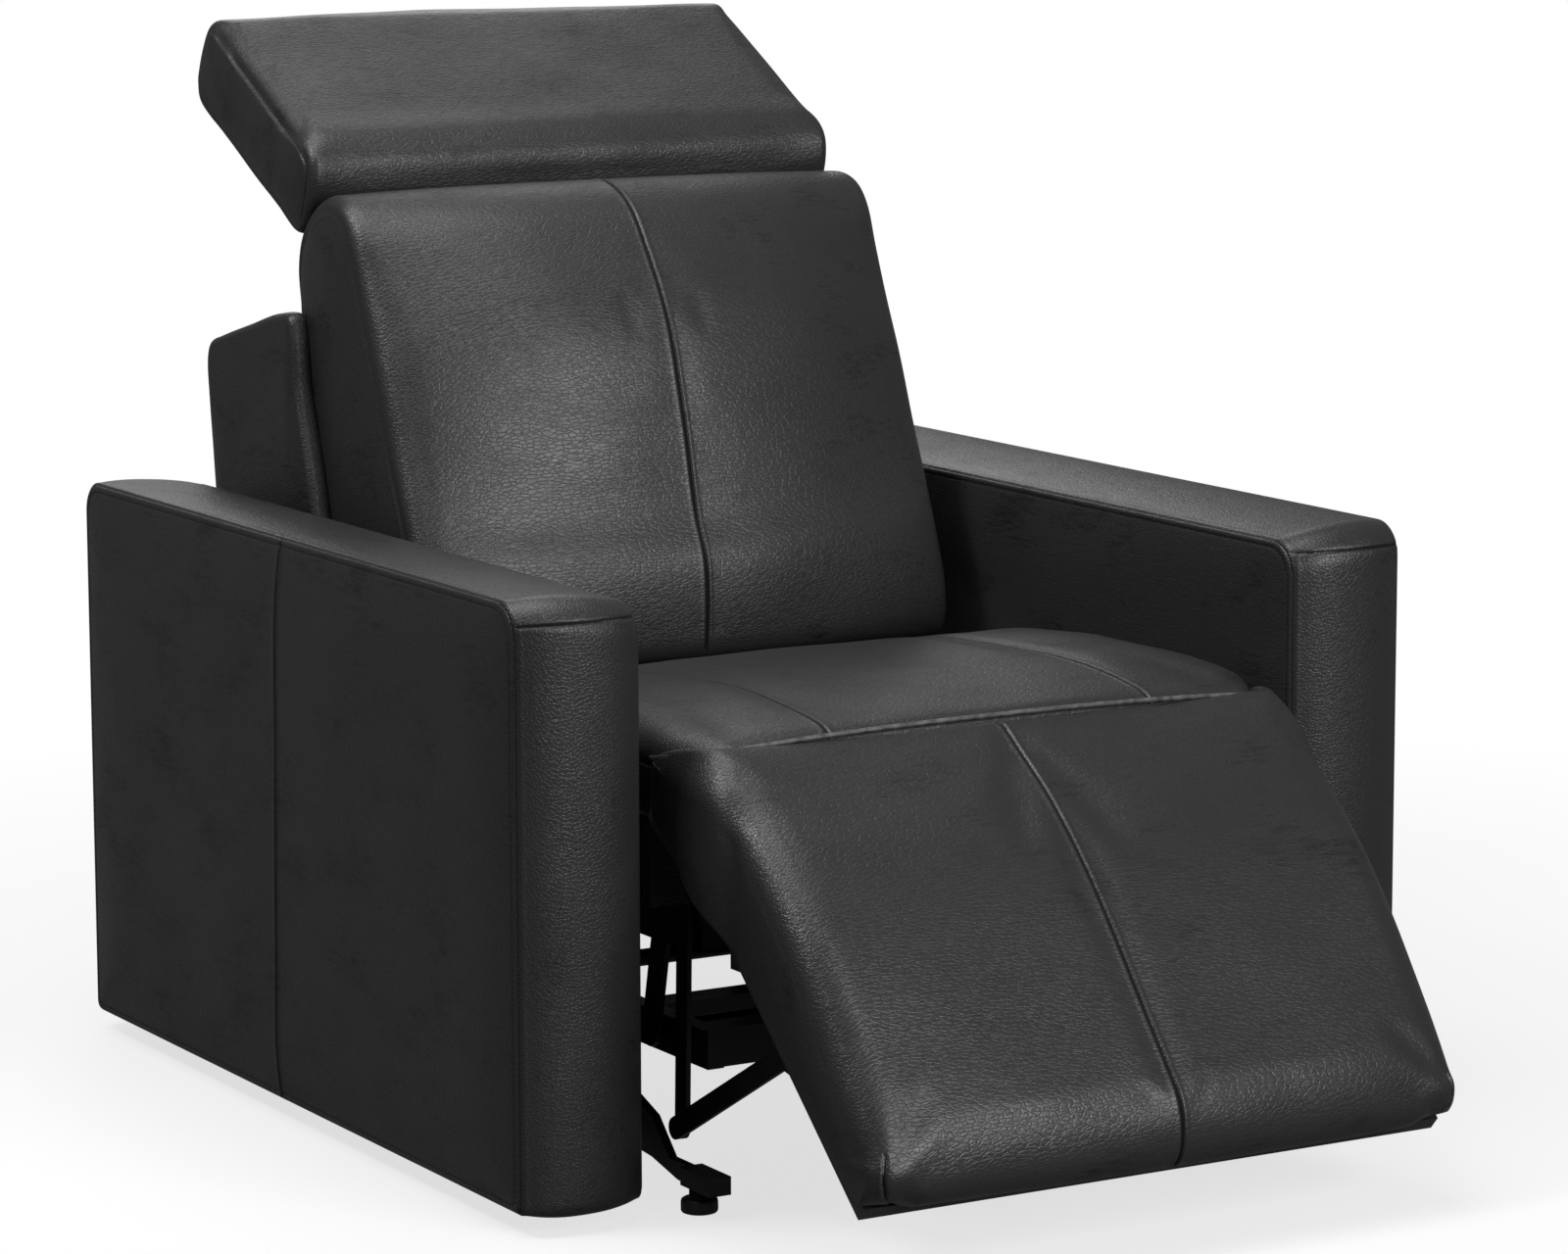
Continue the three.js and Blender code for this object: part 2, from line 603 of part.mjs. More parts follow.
const carryLean = carry.lean * degrees;
const carryRise = [-carry.length * Math.sin(carryLean), carry.length * Math.cos(carryLean)];
const carryTop = ([y, z]) => [y + carryRise[0], z + carryRise[1]];
const pinEnd = layer.crank - fit - (layerPitch - steel) / 2;
const carryWeldment = (pivot) => {
  const links = sides.flatMap(([, side]) => [
    prism(barOutline(pivot, carryTop(pivot), carry.width), ...span(side, layer.carry, steel)),
    rodAcross(carryTop(pivot), carry.pin, ...span(side, layer.carry, pinEnd - layer.carry)),
  ]);
  return join(rodAcross(pivot, carry.shaft, -layer.carry - steel, layer.carry + steel), ...links);
};
const glideLug = ([y, z]) => [y, z + glideDrive.lug];
const lugBar = (from, to, width, thickness, pinRadius, pinHalf) =>
  join(
    prism(barOutline(from, to, width), -thickness / 2, thickness / 2),
    rodAcross(to, pinRadius, -pinHalf, pinHalf),
  );
const [frontPivot, rearPivot] = carryPivots;
const rodPinHalf = drive.eyeWidth + crank.lugThickness / 2 + 2 * fit;
const frontLug = lugBar(
  frontPivot, glideLug(frontPivot), crank.lugWidth, crank.lugThickness, drive.pin, rodPinHalf,
);
add("carry_front", "carry_links_front", "blackSteel", join(carryWeldment(frontPivot), frontLug));

// The rear links run on above the seat plate's pins, to push the struts of the back.
const strutPin = [carryTop(rearPivot)[0], carryTop(rearPivot)[1] + strut.lug];
const strutLugs = sides.flatMap(([, side]) => [
  prism(barOutline(carryTop(rearPivot), strutPin, carry.width), ...span(side, layer.carry, steel)),
  rodAcross(strutPin, backCrank.pin, ...span(side, layer.strut, layerPitch + steel)),
]);
add("carry_rear", "carry_links_rear", "blackSteel", join(carryWeldment(rearPivot), ...strutLugs));

// Seat frame

const crankPivot = at(crank.y, crank.z);
const backAxis = at(backPivot.y, backPivot.z);
const plateOutline = [
  at(plate.front, plate.bottom + seatTube.height),
  at(plate.front + seatTube.depth, plate.bottom),
  at(plateNotch.rear, plate.bottom),
  at(plateNotch.rear, plateNotch.bottom),
  at(plateNotch.front, plateNotch.bottom),
  at(plateNotch.front, plateNotch.top),
  at(plate.rear, plateNotch.top),
  at(plate.rear, plate.top),
  at(plate.front, plate.top),
];
const plateHoles = [
  ...carryPivots.map((pivot) => circle(carryTop(pivot), carry.pin + running)),
  circle(crankPivot, crank.tube + running),
  circle(backAxis, backPivot.pin + running),
];
for (const [name, side] of sides) {
  const shape = prism(plateOutline, ...span(side, plate.inner, steel), plateHoles);
  add("seat", `seat_plate_${name}`, "blackSteel", shape);
}
const tubeHalf = plate.inner - fit;
for (const [end, y] of [["front", seatTube.front], ["rear", seatTube.rear]]) {
  const shape = box(
    -tubeHalf,
    tubeHalf,
    atY(y),
    atY(y + seatTube.depth),
    atZ(seatTube.bottom),
    atZ(seatTube.bottom + seatTube.height),
  );
  add("seat", `seat_tube_${end}`, "blackSteel", shape);
}

// The front board is notched where the two cranks and the drive's rod pass through it.
const boardY = [atY(frontBoard.y), atY(frontBoard.y + frontBoard.thickness)];
const frontPanel = box(
  -frontBoard.halfWidth,
  frontBoard.halfWidth,
  ...boardY,
  atZ(frontBoard.bottom),
  atZ(frontBoard.top),
);
const notch = (x0, x1) =>
  box(
    x0 - 2 * running,
    x1 + 2 * running,
    boardY[0] - overrun,
    boardY[1] + overrun,
    atZ(frontBoard.bottom) - overrun,
    atZ(frontBoard.slotTop),
  );
const notches = sides.map(([, side]) => notch(...span(side, layer.crank, steel)));
notches.push(notch(-rodPinHalf, rodPinHalf));
add("seat", "seat_front_board", "leather", cut(frontPanel, ...notches));

add(
  "seat",
  "seat_deck",
  "timber",
  box(
    -deck.halfWidth,
    deck.halfWidth,
    boardY[1] + fit,
    atY(deck.rear),
    atZ(plate.top) + fit,
    atZ(plate.top) + fit + deck.thickness,
  ),
);

const seatProfile = softOutline(seatCushion, seatCushionShares, 40, (y, z) =>
  at(seatCushion.front + y, seatCushion.bottom + z),
);
const seatForm = { ...seatCushion, face: [0, 1], stations: 6, channels: [-seatPanelSeam, seatPanelSeam] };
add("seat", "seat_cushion", "leather", cushion(seatProfile, seatForm));

// Leg rest: a board, the pad on it, and a bracket on each side for the guiding link

const boardTop = at(legBoard.topY, legBoard.topZ);
const boardFoot = at(legBoard.footY, legBoard.footZ);
const boardLength = Math.hypot(boardFoot[0] - boardTop[0], boardFoot[1] - boardTop[1]);
const down = [(boardFoot[0] - boardTop[0]) / boardLength, (boardFoot[1] - boardTop[1]) / boardLength];
// along the board from its top, and out from its rear face towards the pad
const onBoard = (along, out) => [
  boardTop[0] + down[0] * along + down[1] * out,
  boardTop[1] + down[1] * along - down[0] * out,
];
const boardOutline = [
  onBoard(0, 0),
  onBoard(boardLength, 0),
  onBoard(boardLength, legBoard.thickness),
  onBoard(0, legBoard.thickness),
];
add("leg_rest", "leg_rest_board", "leather", prism(boardOutline, -legBoard.halfWidth, legBoard.halfWidth));

const guidePin = at(bracketPin.y, bracketPin.z);
const bossArc = arc(guidePin, crank.width / 2 + fit, -120, 30, fixedSteps / 2);
const bracketOutline = [onBoard(legBracket.start, -fit), onBoard(legBracket.end, -fit), ...bossArc];
const pinHole = circle(guidePin, crank.pin + running);
for (const [name, side] of sides) {
  const shape = prism(bracketOutline, ...span(side, layer.bracket, steel), [pinHole]);
  add("leg_rest", `leg_rest_bracket_${name}`, "blackSteel", shape);
}

const padBase = legBoard.thickness + fit;
const padProfile = softOutline(legPad, legPadShares, 40, (along, out) =>
  onBoard(legPad.start + along, padBase + out),
);
const padForm = { ...legPad, face: [down[1], -down[0]], stations: 6, channels: [0] };
add("leg_rest", "leg_rest_pad", "leather", cushion(padProfile, padForm));

// The crank pair on its drive tube, and the link on each side from crank to bracket. The link
// keeps the direction from the crank's pivot to the knee centre, so the three stay a parallelogram.
const kneeAxis = at(knee.y, knee.z);
const crankEnd = [
  crankPivot[0] + guidePin[0] - kneeAxis[0],
  crankPivot[1] + guidePin[1] - kneeAxis[1],
];
const crankBars = sides.flatMap(([, side]) => [
  prism(barOutline(crankPivot, crankEnd, crank.width), ...span(side, layer.crank, steel)),
  rodAcross(crankEnd, crank.pin, ...span(side, layer.crank, layerPitch + steel + fit)),
]);
const crankLug = [crankPivot[0], crankPivot[1] - crank.lug];
add(
  "leg_crank",
  "leg_rest_crank",
  "blackSteel",
  join(
    rodAcross(crankPivot, crank.tube, -layer.crank - steel, layer.crank + steel),
    lugBar(crankPivot, crankLug, crank.lugWidth, crank.lugThickness, drive.pin, rodPinHalf),
    ...crankBars,
  ),
);
for (const [name, side] of sides) {
  const bar = prism(barOutline(crankEnd, guidePin, crank.width), ...span(side, layer.link, steel), [
    circle(crankEnd, crank.pin + running),
  ]);
  const pin = rodAcross(guidePin, crank.pin, ...span(side, layer.link, layerPitch + steel + fit));
  add(`leg_link_${name}`, `leg_rest_link_${name}`, "blackSteel", join(bar, pin));
}

// Drives: a motor at the rear, a rail in front of it, and a rod whose forked end carries the
// crank's pin in an upright slot, because the pin swings while the rod runs straight

const rodAxis = (pin, { swing }) => pin[1] + swing / 2;
const rodFork = (pin, { swing }, rearY) => {
  const [inner, outer] = [crank.lugThickness / 2 + fit, crank.lugThickness / 2 + fit + drive.eyeWidth];
  const middle = rodAxis(pin, { swing });
  const slotHalf = Math.abs(swing) / 2 + drive.pin + running;
  const across = drive.pin + drive.slack;
  const slot = [
    [pin[0] - across, middle - slotHalf],
    [pin[0] + across, middle - slotHalf],
    [pin[0] + across, middle + slotHalf],
    [pin[0] - across, middle + slotHalf],
  ];
  const [low, high] = [middle - slotHalf - drive.eyeWidth, middle + slotHalf + drive.eyeWidth];
  const [tip, neck] = [pin[0] - drive.eye, pin[0] + drive.eye + crank.lugWidth / 2 + drive.throat];
  const cheek = [
    [tip, low],
    [neck, low],
    [neck, high],
    [tip, high],
  ];
  const cheeks = [prism(cheek, inner, outer, [slot]), prism(cheek, -outer, -inner, [slot])];
  const yoke = box(-outer, outer, neck, neck + drive.eyeWidth, low, high);
  const rod = new THREE.CylinderGeometry(drive.rodRadius, drive.rodRadius, rearY - neck, fixedSteps);
  return join(...cheeks, yoke, rod.translate(0, (neck + rearY) / 2, middle));
};

const railShape = (z, frontY, rearY) =>
  cut(
    box(-drive.rail, drive.rail, frontY, rearY, z - drive.rail, z + drive.rail),
    new THREE.CylinderGeometry(
      drive.rodRadius + running,
      drive.rodRadius + running,
      2 * (rearY - frontY) - 2 * drive.railWall,
      fixedSteps,
    ).translate(0, frontY, z),
  );

const legMotorFront = atY(legDrive.motorFront);
const legRailRear = legMotorFront - fit;
const legRodZ = rodAxis(crankLug, legDrive);
add(
  "seat",
  "leg_rest_rail",
  "blackSteel",
  railShape(legRodZ, atY(legDrive.railFront), legRailRear),
);
add(
  "seat",
  "leg_rest_motor",
  "plastic",
  box(
    -drive.motorWidth / 2,
    drive.motorWidth / 2,
    legMotorFront,
    atY(seatTube.rear) - fit,
    legRodZ - legDrive.motorHeight / 2,
    legRodZ + legDrive.motorHeight / 2,
  ),
);
add(
  "leg_rod",
  "leg_rest_rod",
  "zinc",
  rodFork(crankLug, legDrive, legRailRear - drive.railWall - legDrive.stroke),
);

const glidePin = glideLug(frontPivot);
const glideMotorFront = atY(bearer.front);
const glideHousing = box(
  -drive.motorWidth / 2,
  drive.motorWidth / 2,
  glideMotorFront,
  glideMotorFront + glideDrive.motorDepth,
  bearerZ[1] + fit,
  bearerZ[1] + fit + glideDrive.motorHeight,
);
const glideRail = railShape(rodAxis(glidePin, glideDrive), atY(glideDrive.railFront), glideMotorFront + overrun);
add("base", "glide_motor", "blackSteel", join(glideHousing, glideRail));
add(
  "glide_rod",
  "glide_rod",
  "zinc",
  rodFork(glidePin, glideDrive, glideMotorFront - fit - drive.railWall - glideDrive.stroke),
);

// Back: a board between two side brackets, a cushion in front of it and a padded shell behind it

const boardBase = at(backBoard.footY, backBoard.footZ);
const boardHead = at(backBoard.topY, backBoard.topZ);
const backBoardOutline = [
  boardBase,
  boardHead,
  [boardHead[0] + backBoard.thickness, boardHead[1]],
  [boardBase[0] + backBoard.thickness, boardBase[1]],
];
const shellInner = backShell.halfWidth - backShell.wall;
add("back", "back_board", "timber", prism(backBoardOutline, -shellInner + fit, shellInner - fit));

const strutTie = [backAxis[0], backAxis[1] - backCrank.length];
const strutRear = [strutTie[0], strutTie[1] + strut.rise / 2];
const boardFace = (z) => {
  const share = (atZ(z) - boardBase[1]) / (boardHead[1] - boardBase[1]);
  return boardBase[0] + share * (boardHead[0] - boardBase[0]);
};
const behindBoard = (z) => boardFace(z) + backBoard.thickness + fit;
const bracketReach = backBoard.footZ - backPivot.boss / 2;
const backBracket = [
  [strutTie[0] - backCrank.width / 2, strutTie[1]],
  ...arc(strutTie, backCrank.width / 2, 180, 360, fixedSteps / 2),
  [backAxis[0] + backPivot.boss, backAxis[1] - backPivot.boss],
  at(backBoard.footY, backPivot.z),
  [behindBoard(backBracketRise.z) + backBracketRise.width, atZ(backBracketRise.z)],
  [behindBoard(backBracketRise.z), atZ(backBracketRise.z)],
  [behindBoard(backBoard.footZ), atZ(backBoard.footZ)],
  at(backBoard.footY, bracketReach),
  [backAxis[0] + backPivot.boss, backAxis[1] + backPivot.boss],
  ...arc(backAxis, backPivot.boss, 90, 180, fixedSteps / 4),
];
// The strut keeps level while the tie pin rises in its slot.
const strutSlot = [
  [strutTie[0] - backCrank.pin - strut.slack, strutTie[1] - backCrank.pin - running],
  [strutTie[0] + backCrank.pin + strut.slack, strutTie[1] - backCrank.pin - running],
  [strutTie[0] + backCrank.pin + strut.slack, strutTie[1] + backCrank.pin + strut.rise],
  [strutTie[0] - backCrank.pin - strut.slack, strutTie[1] + backCrank.pin + strut.rise],
];
for (const [name, side] of sides) {
  const flat = prism(backBracket, ...span(side, layer.crank, steel));
  const tie = rodAcross(strutTie, backCrank.pin, ...span(side, layer.strut, layer.crank - layer.strut + steel));
  const hub = rodAcross(backAxis, backPivot.pin, ...span(side, plate.inner - steel / 2, layerPitch + steel));
  add("back", `back_bracket_${name}`, "blackSteel", join(flat, tie, hub));
  const strutBar = barOutline(strutPin, strutRear, strut.width);
  const strutHoles = [circle(strutPin, backCrank.pin + running), strutSlot];
  add(`strut_${name}`, `back_strut_${name}`, "blackSteel", prism(strutBar, ...span(side, layer.strut, steel), strutHoles));
}

const backProfile = softOutline(backCushion, backCushionShares, 44, (y, z) =>
  at(backCushion.front + y, backCushion.bottom + z),
);
const backForm = { ...backCushion, face: [-0.9, 0.35], stations: 6, channels: [0] };
const backCushionShape = cushion(backProfile, backForm);
const [bedLow, bedHigh] = [backBoard.footZ - overrun, backBoard.topZ + 2 * fit];
const boardBed = prism(
  [
    [boardFace(bedLow) - 2 * fit, atZ(bedLow)],
    [boardFace(bedHigh) - 2 * fit, atZ(bedHigh)],
    [boardFace(bedHigh) + 2 * backBoard.thickness, atZ(bedHigh)],
    [boardFace(bedLow) + 2 * backBoard.thickness, atZ(bedLow)],
  ],
  -backCushion.halfWidth - overrun,
  backCushion.halfWidth + overrun,
);
add("back", "back_cushion", "leather", cut(backCushionShape, boardBed));

const inShell = ([y, z], inset) =>
  at(backShell.front + y * (backShell.depth - inset), backShell.bottom + z * (backShell.height - inset));
const panelShares = [...shellRidgeShares, ...shellRearShares];
const shellRear = [
  ...panelShares.map((point) => inShell(point, 0)),
  ...panelShares.map((point) => inShell(point, backShell.wall)).reverse(),
];
add("back", "back_rear_panel", "leather", prism(shellRear, -shellInner + fit, shellInner - fit));
const shellSide = [...shellTopShares, ...shellRearShares, ...shellFrontShares].map((point) => inShell(point, 0));
for (const [name, side] of sides) {
  add("back", `back_side_panel_${name}`, "leather", prism(shellSide, ...span(side, shellInner, backShell.wall)));
}

// Headrest: a pad and a rear board with the hinge straps between them, which turn on a bracket
// that stands on the back board

const pitch = headrest.pitch * degrees;
const onHeadrest = (u, w) =>
  at(
    headrest.y + u * Math.cos(pitch) - w * Math.sin(pitch),
    headrest.z + u * Math.sin(pitch) + w * Math.cos(pitch),
  );
const headRear = -headrest.thickness / 2;
const strapRear = headHinge.w - headHinge.thickness / 2 - fit;
const strapFront = headHinge.w + headHinge.thickness / 2 + fit;
const hingeCentres = sides.map(([, side]) => side * headHinge.spread);
const hingeAxis = onHeadrest(headHinge.u, headHinge.w);

// The low end is cut away round each hinge, as far as the bracket swings.
const pockets = hingeCentres.map((x) =>
  prism(
    [
      onHeadrest(-overrun, headRear - overrun),
      onHeadrest(headPocket.length, headRear - overrun),
      onHeadrest(headPocket.length, headRear + headPocket.depth),
      onHeadrest(-overrun, headRear + headPocket.depth),
    ],
    x - headPocket.width / 2,
    x + headPocket.width / 2,
  ),
);
const headBoardOutline = [
  onHeadrest(headBoard.inset, headRear),
  onHeadrest(headrest.length - headBoard.inset, headRear),
  onHeadrest(headrest.length - headBoard.inset, strapRear),
  onHeadrest(headBoard.inset, strapRear),
];
const headBoardHalf = headrest.halfWidth - headBoard.inset;
add("headrest", "headrest_board", "leather", cut(prism(headBoardOutline, -headBoardHalf, headBoardHalf), ...pockets));

const headPad = { depth: headrest.length, height: headrest.thickness / 2 - strapFront };
const headProfile = softOutline(headPad, headCushionShares, 36, (u, w) => onHeadrest(u, strapFront + w));
const headForm = {
  ...headCushion,
  halfWidth: headrest.halfWidth,
  face: [-Math.sin(pitch), Math.cos(pitch)],
  stations: 5,
  channels: [],
};
add("headrest", "headrest_pad", "leather", cut(cushion(headProfile, headForm), ...pockets));

const strapOutline = (from, to) => [
  onHeadrest(from, headHinge.w - headHinge.thickness / 2),
  onHeadrest(to, headHinge.w - headHinge.thickness / 2),
  onHeadrest(to, headHinge.w + headHinge.thickness / 2),
  onHeadrest(from, headHinge.w + headHinge.thickness / 2),
];
const strapHalf = headHinge.strap / 2;
const earWidth = headHinge.thickness;
const upperStraps = hingeCentres.flatMap((x) => [
  prism(strapOutline(headPocket.length - headHinge.knuckle, headStrap.length), x - strapHalf, x + strapHalf),
  ...[-strapHalf, strapHalf - earWidth].map((ear) =>
    prism(
      barOutline(hingeAxis, onHeadrest(headPocket.length - headHinge.knuckle, headHinge.w), 2 * headHinge.thickness),
      x + ear,
      x + ear + earWidth,
    ),
  ),
  rodAcross(hingeAxis, headHinge.pin, x - strapHalf, x + strapHalf),
]);
const strapTie = prism(
  strapOutline(headStrap.length - headStrap.cross, headStrap.length),
  -headHinge.spread,
  headHinge.spread,
);
add("headrest", "headrest_hinge", "blackSteel", join(strapTie, ...upperStraps));

// The bracket climbs the rear of the back board and then stands upright to the hinge.
const climb = [
  [behindBoard(headStrap.low), atZ(headStrap.low)],
  [behindBoard(backBoard.topZ), atZ(backBoard.topZ)],
  hingeAxis,
];
const stripOutline = [...climb, ...climb.map(([y, z]) => [y + headHinge.thickness, z]).reverse()];
const lowerStraps = hingeCentres.flatMap((x) => {
  const [from, to] = [x - strapHalf + earWidth + fit * 2, x + strapHalf - earWidth - fit * 2];
  const knuckle = rodAcross(hingeAxis, headHinge.knuckle, from, to);
  return [prism(stripOutline, from, to), knuckle];
});
const lowerTie = prism(
  [stripOutline[0], stripOutline[1], stripOutline.at(-2), stripOutline.at(-1)],
  -headHinge.spread,
  headHinge.spread,
);
const hingeBores = hingeCentres.map((x) =>
  rodAcross(hingeAxis, headHinge.pin + running, x - headHinge.strap, x + headHinge.strap),
);
add("back", "headrest_bracket", "blackSteel", cut(join(lowerTie, ...lowerStraps), ...hingeBores));

// The padded leather that bridges from the seat's front seam to the leg rest folds as it closes.
const seatNose = (y, z) => at(seatCushion.front + y, seatCushion.bottom + z);
const bridgeOutline = [
  seatNose(-bridge.gap, bridge.seam),
  onBoard(legPad.start - bridge.gap - bridge.slope, padBase + legPad.height),
  onBoard(legPad.start - bridge.gap, padBase + legPad.height * bridge.padShare),
  onBoard(legPad.start / 2, 0),
  seatNose(bridge.rootY, bridge.rootZ),
  seatNose(bridge.chinY, bridge.chinZ),
];
add("seat", "leg_rest_bridge", "leather", prism(bridgeOutline, -bridge.halfWidth, bridge.halfWidth));

part.add(...Object.values(bodies));
export default part;
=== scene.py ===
import math

import bmesh
import bpy
from mathutils import Matrix, Vector, noise


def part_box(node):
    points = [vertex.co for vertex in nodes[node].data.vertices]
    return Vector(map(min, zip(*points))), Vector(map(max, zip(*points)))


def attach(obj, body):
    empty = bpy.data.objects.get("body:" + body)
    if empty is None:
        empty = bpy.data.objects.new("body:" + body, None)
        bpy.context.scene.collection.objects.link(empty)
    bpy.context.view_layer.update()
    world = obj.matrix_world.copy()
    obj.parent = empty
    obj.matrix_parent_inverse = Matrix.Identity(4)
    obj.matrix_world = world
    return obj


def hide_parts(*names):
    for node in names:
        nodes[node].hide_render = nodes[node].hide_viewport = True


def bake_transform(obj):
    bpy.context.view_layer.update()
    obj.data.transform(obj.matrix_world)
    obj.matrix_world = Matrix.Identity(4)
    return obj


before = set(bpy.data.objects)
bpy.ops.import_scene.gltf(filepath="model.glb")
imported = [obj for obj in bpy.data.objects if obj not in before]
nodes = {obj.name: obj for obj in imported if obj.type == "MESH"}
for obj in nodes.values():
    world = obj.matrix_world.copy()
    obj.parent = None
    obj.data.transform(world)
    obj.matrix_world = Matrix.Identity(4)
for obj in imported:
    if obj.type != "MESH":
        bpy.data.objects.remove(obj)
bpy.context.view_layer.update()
scene = bpy.context.scene
scene.view_settings.view_transform = "Standard"

# Camera: it stands a little to the sitter's right and just above the seat, with a long lens, so
# the chair is seen from the front and its right side.
azimuth, elevation, roll = math.radians(-30.383), math.radians(9.302), math.radians(-0.167)
camera_place = (-2.804, -4.783, 1.395)
focal_length, photo_width = 5588.685, 1600  # in pixels of the photograph
behind = Vector((
    math.sin(azimuth) * math.cos(elevation), -math.cos(azimuth) * math.cos(elevation), math.sin(elevation)
))
level = (-behind).cross(Vector((0, 0, 1))).normalized()
upright = level.cross(-behind)
axes = (
    level * math.cos(roll) + upright * math.sin(roll),
    upright * math.cos(roll) - level * math.sin(roll),
    behind,
)
camera = bpy.data.objects.new("camera", bpy.data.cameras.new("camera"))
scene.collection.objects.link(camera)
camera.matrix_world = Matrix.Translation(camera_place) @ Matrix(axes).transposed().to_4x4()
camera.data.sensor_width = 36
camera.data.lens = focal_length / photo_width * camera.data.sensor_width
scene.camera = camera

# Steel base and linkage: rails, bearers, legs, plates, links and brackets are cut from flat steel
# and tube and welded, then powder coated black, and so is the glide's motor with its rail. The
# nodes have their real shape, so they keep it.


def linear(code):
    """The linear colour of an sRGB hex code."""
    shares = [int(code[i : i + 2], 16) / 255 for i in (1, 3, 5)]
    return (*[c / 12.92 if c <= 0.04045 else ((c + 0.055) / 1.055) ** 2.4 for c in shares], 1)


def add(tree, kind, inputs=None, **settings):
    """One node, with its settings, and its inputs set to a value or linked to a socket."""
    node = tree.nodes.new(kind)
    for name, value in settings.items():
        setattr(node, name, value)
    for key, value in (inputs or {}).items():
        if isinstance(value, bpy.types.NodeSocket):
            tree.links.new(value, node.inputs[key])
        else:
            node.inputs[key].default_value = value
    return node


def new_material(name, **plain):
    """A material, its tree and its shader, with the values that are the same all over."""
    material = bpy.data.materials.new(name)
    material.use_nodes = True
    shader = material.node_tree.nodes["Principled BSDF"]
    for key, value in plain.items():
        shader.inputs[key.replace("_", " ")].default_value = value
    return material, material.node_tree, shader


def surface(tree, shader, pattern, colours, roughness, stops=(0, 1), relief=None):
    """Colour and roughness that both follow one pattern, from their first value to their second.
    A relief too fine for the mesh is its height, its strength, and its depth in metres."""
    tint = add(tree, "ShaderNodeValToRGB", {"Fac": pattern})
    for element, stop, colour in zip(tint.color_ramp.elements, stops, colours):
        element.position, element.color = stop, linear(colour)
    gloss = add(
        tree, "ShaderNodeMapRange", {"Value": pattern, "To Min": roughness[0], "To Max": roughness[1]}
    )
    tree.links.new(tint.outputs["Color"], shader.inputs["Base Color"])
    tree.links.new(gloss.outputs["Result"], shader.inputs["Roughness"])
    if relief:
        bump = add(tree, "ShaderNodeBump", dict(zip(("Height", "Strength", "Distance"), relief)))
        tree.links.new(bump.outputs["Normal"], shader.inputs["Normal"])


def dress(names, material, bevel=0.0008):
    """Gives nodes of the model a finish, and their cut edges a small radius."""
    for name in names:
        for slot in nodes[name].material_slots:
            slot.material = material
        edge = nodes[name].modifiers.new("edge", "BEVEL")
        edge.width = bevel
        edge.segments = 2
        edge.limit_method = "ANGLE"
        edge.angle_limit = math.radians(35)


# Powder coat: a fine orange peel, about 1.5 mm, breaks up the gloss of the black plastic film.
powder_coat, tree, shader = new_material("black_powder_coat", IOR=1.35)
place = add(tree, "ShaderNodeTexCoord").outputs["Object"]
peel = add(tree, "ShaderNodeTexNoise", {"Vector": place, "Scale": 1 / 0.0015, "Detail": 2})
dust = add(tree, "ShaderNodeTexNoise", {"Vector": place, "Scale": 1 / 0.06, "Detail": 4})
surface(
    tree, shader, dust.outputs["Fac"], ("#060606", "#0e0e0f"), (0.34, 0.52),
    relief=(peel.outputs["Fac"], 0.12, 0.0004),
)

steel_nodes = [
    name
    for name in nodes
    if name.startswith((
        "base_rail", "front_cross", "bearer", "leg_front", "leg_rear", "carry_links", "seat_plate", "seat_tube",
        "leg_rest_bracket", "leg_rest_crank", "leg_rest_link", "leg_rest_rail", "back_bracket", "back_strut",
        "headrest_hinge", "headrest_bracket", "glide_motor",
    ))
]
dress(steel_nodes, powder_coat)

# Levelling feet: a moulded nylon disc on a threaded stem under each leg. The disc's rim is
# rounded and its side has a shallow grip, so each is turned here from its profile.


def linked(name, mesh):
    """An object of the mesh, in the scene, with smooth faces."""
    piece = bpy.data.objects.new(name, mesh)
    scene.collection.objects.link(piece)
    mesh.polygons.foreach_set("use_smooth", [True] * len(mesh.polygons))
    return piece


def from_rings(name, rings, grids=None):
    """A skin of four-sided faces over rings of equal count. A face closes each end, or a grid of
    points whose rim is the end's ring."""
    count = len(rings[0])
    points = [tuple(p) for ring in rings for p in ring]
    faces = [
        (r + i, r + (i + 1) % count, r + count + (i + 1) % count, r + count + i)
        for r in range(0, (len(rings) - 1) * count, count)
        for i in range(count)
    ]
    starts = (0, (len(rings) - 1) * count)
    if grids is None:
        faces += [tuple(range(start, start + count)) for start in starts]
    for start, grid in zip(starts, grids or ()):
        wide, tall = len(grid) - 1, len(grid[0]) - 1
        rim = {(0, j): start + j for j in range(tall + 1)}
        rim |= {(i, tall): start + tall + i for i in range(wide + 1)}
        rim |= {(wide, tall - j): start + tall + wide + j for j in range(tall + 1)}
        rim |= {(wide - i, 0): start + 2 * tall + wide + i for i in range(wide)}
        for i in range(1, wide):
            for j in range(1, tall):
                rim[i, j] = len(points)
                points.append(tuple(grid[i][j]))
        faces += [
            (rim[i, j], rim[i + 1, j], rim[i + 1, j + 1], rim[i, j + 1])
            for i in range(wide)
            for j in range(tall)
        ]
    mesh = bpy.data.meshes.new(name)
    mesh.from_pydata(points, [], faces)
    turn_out(mesh)
    return linked(name, mesh)


def turn_out(mesh):
    """Turns all faces of a closed mesh to point out."""
    skin = bmesh.new()
    skin.from_mesh(mesh)
    bmesh.ops.recalc_face_normals(skin, faces=skin.faces)
    if skin.calc_volume(signed=True) < 0:
        bmesh.ops.reverse_faces(skin, faces=skin.faces)
    skin.to_mesh(mesh)
    skin.free()


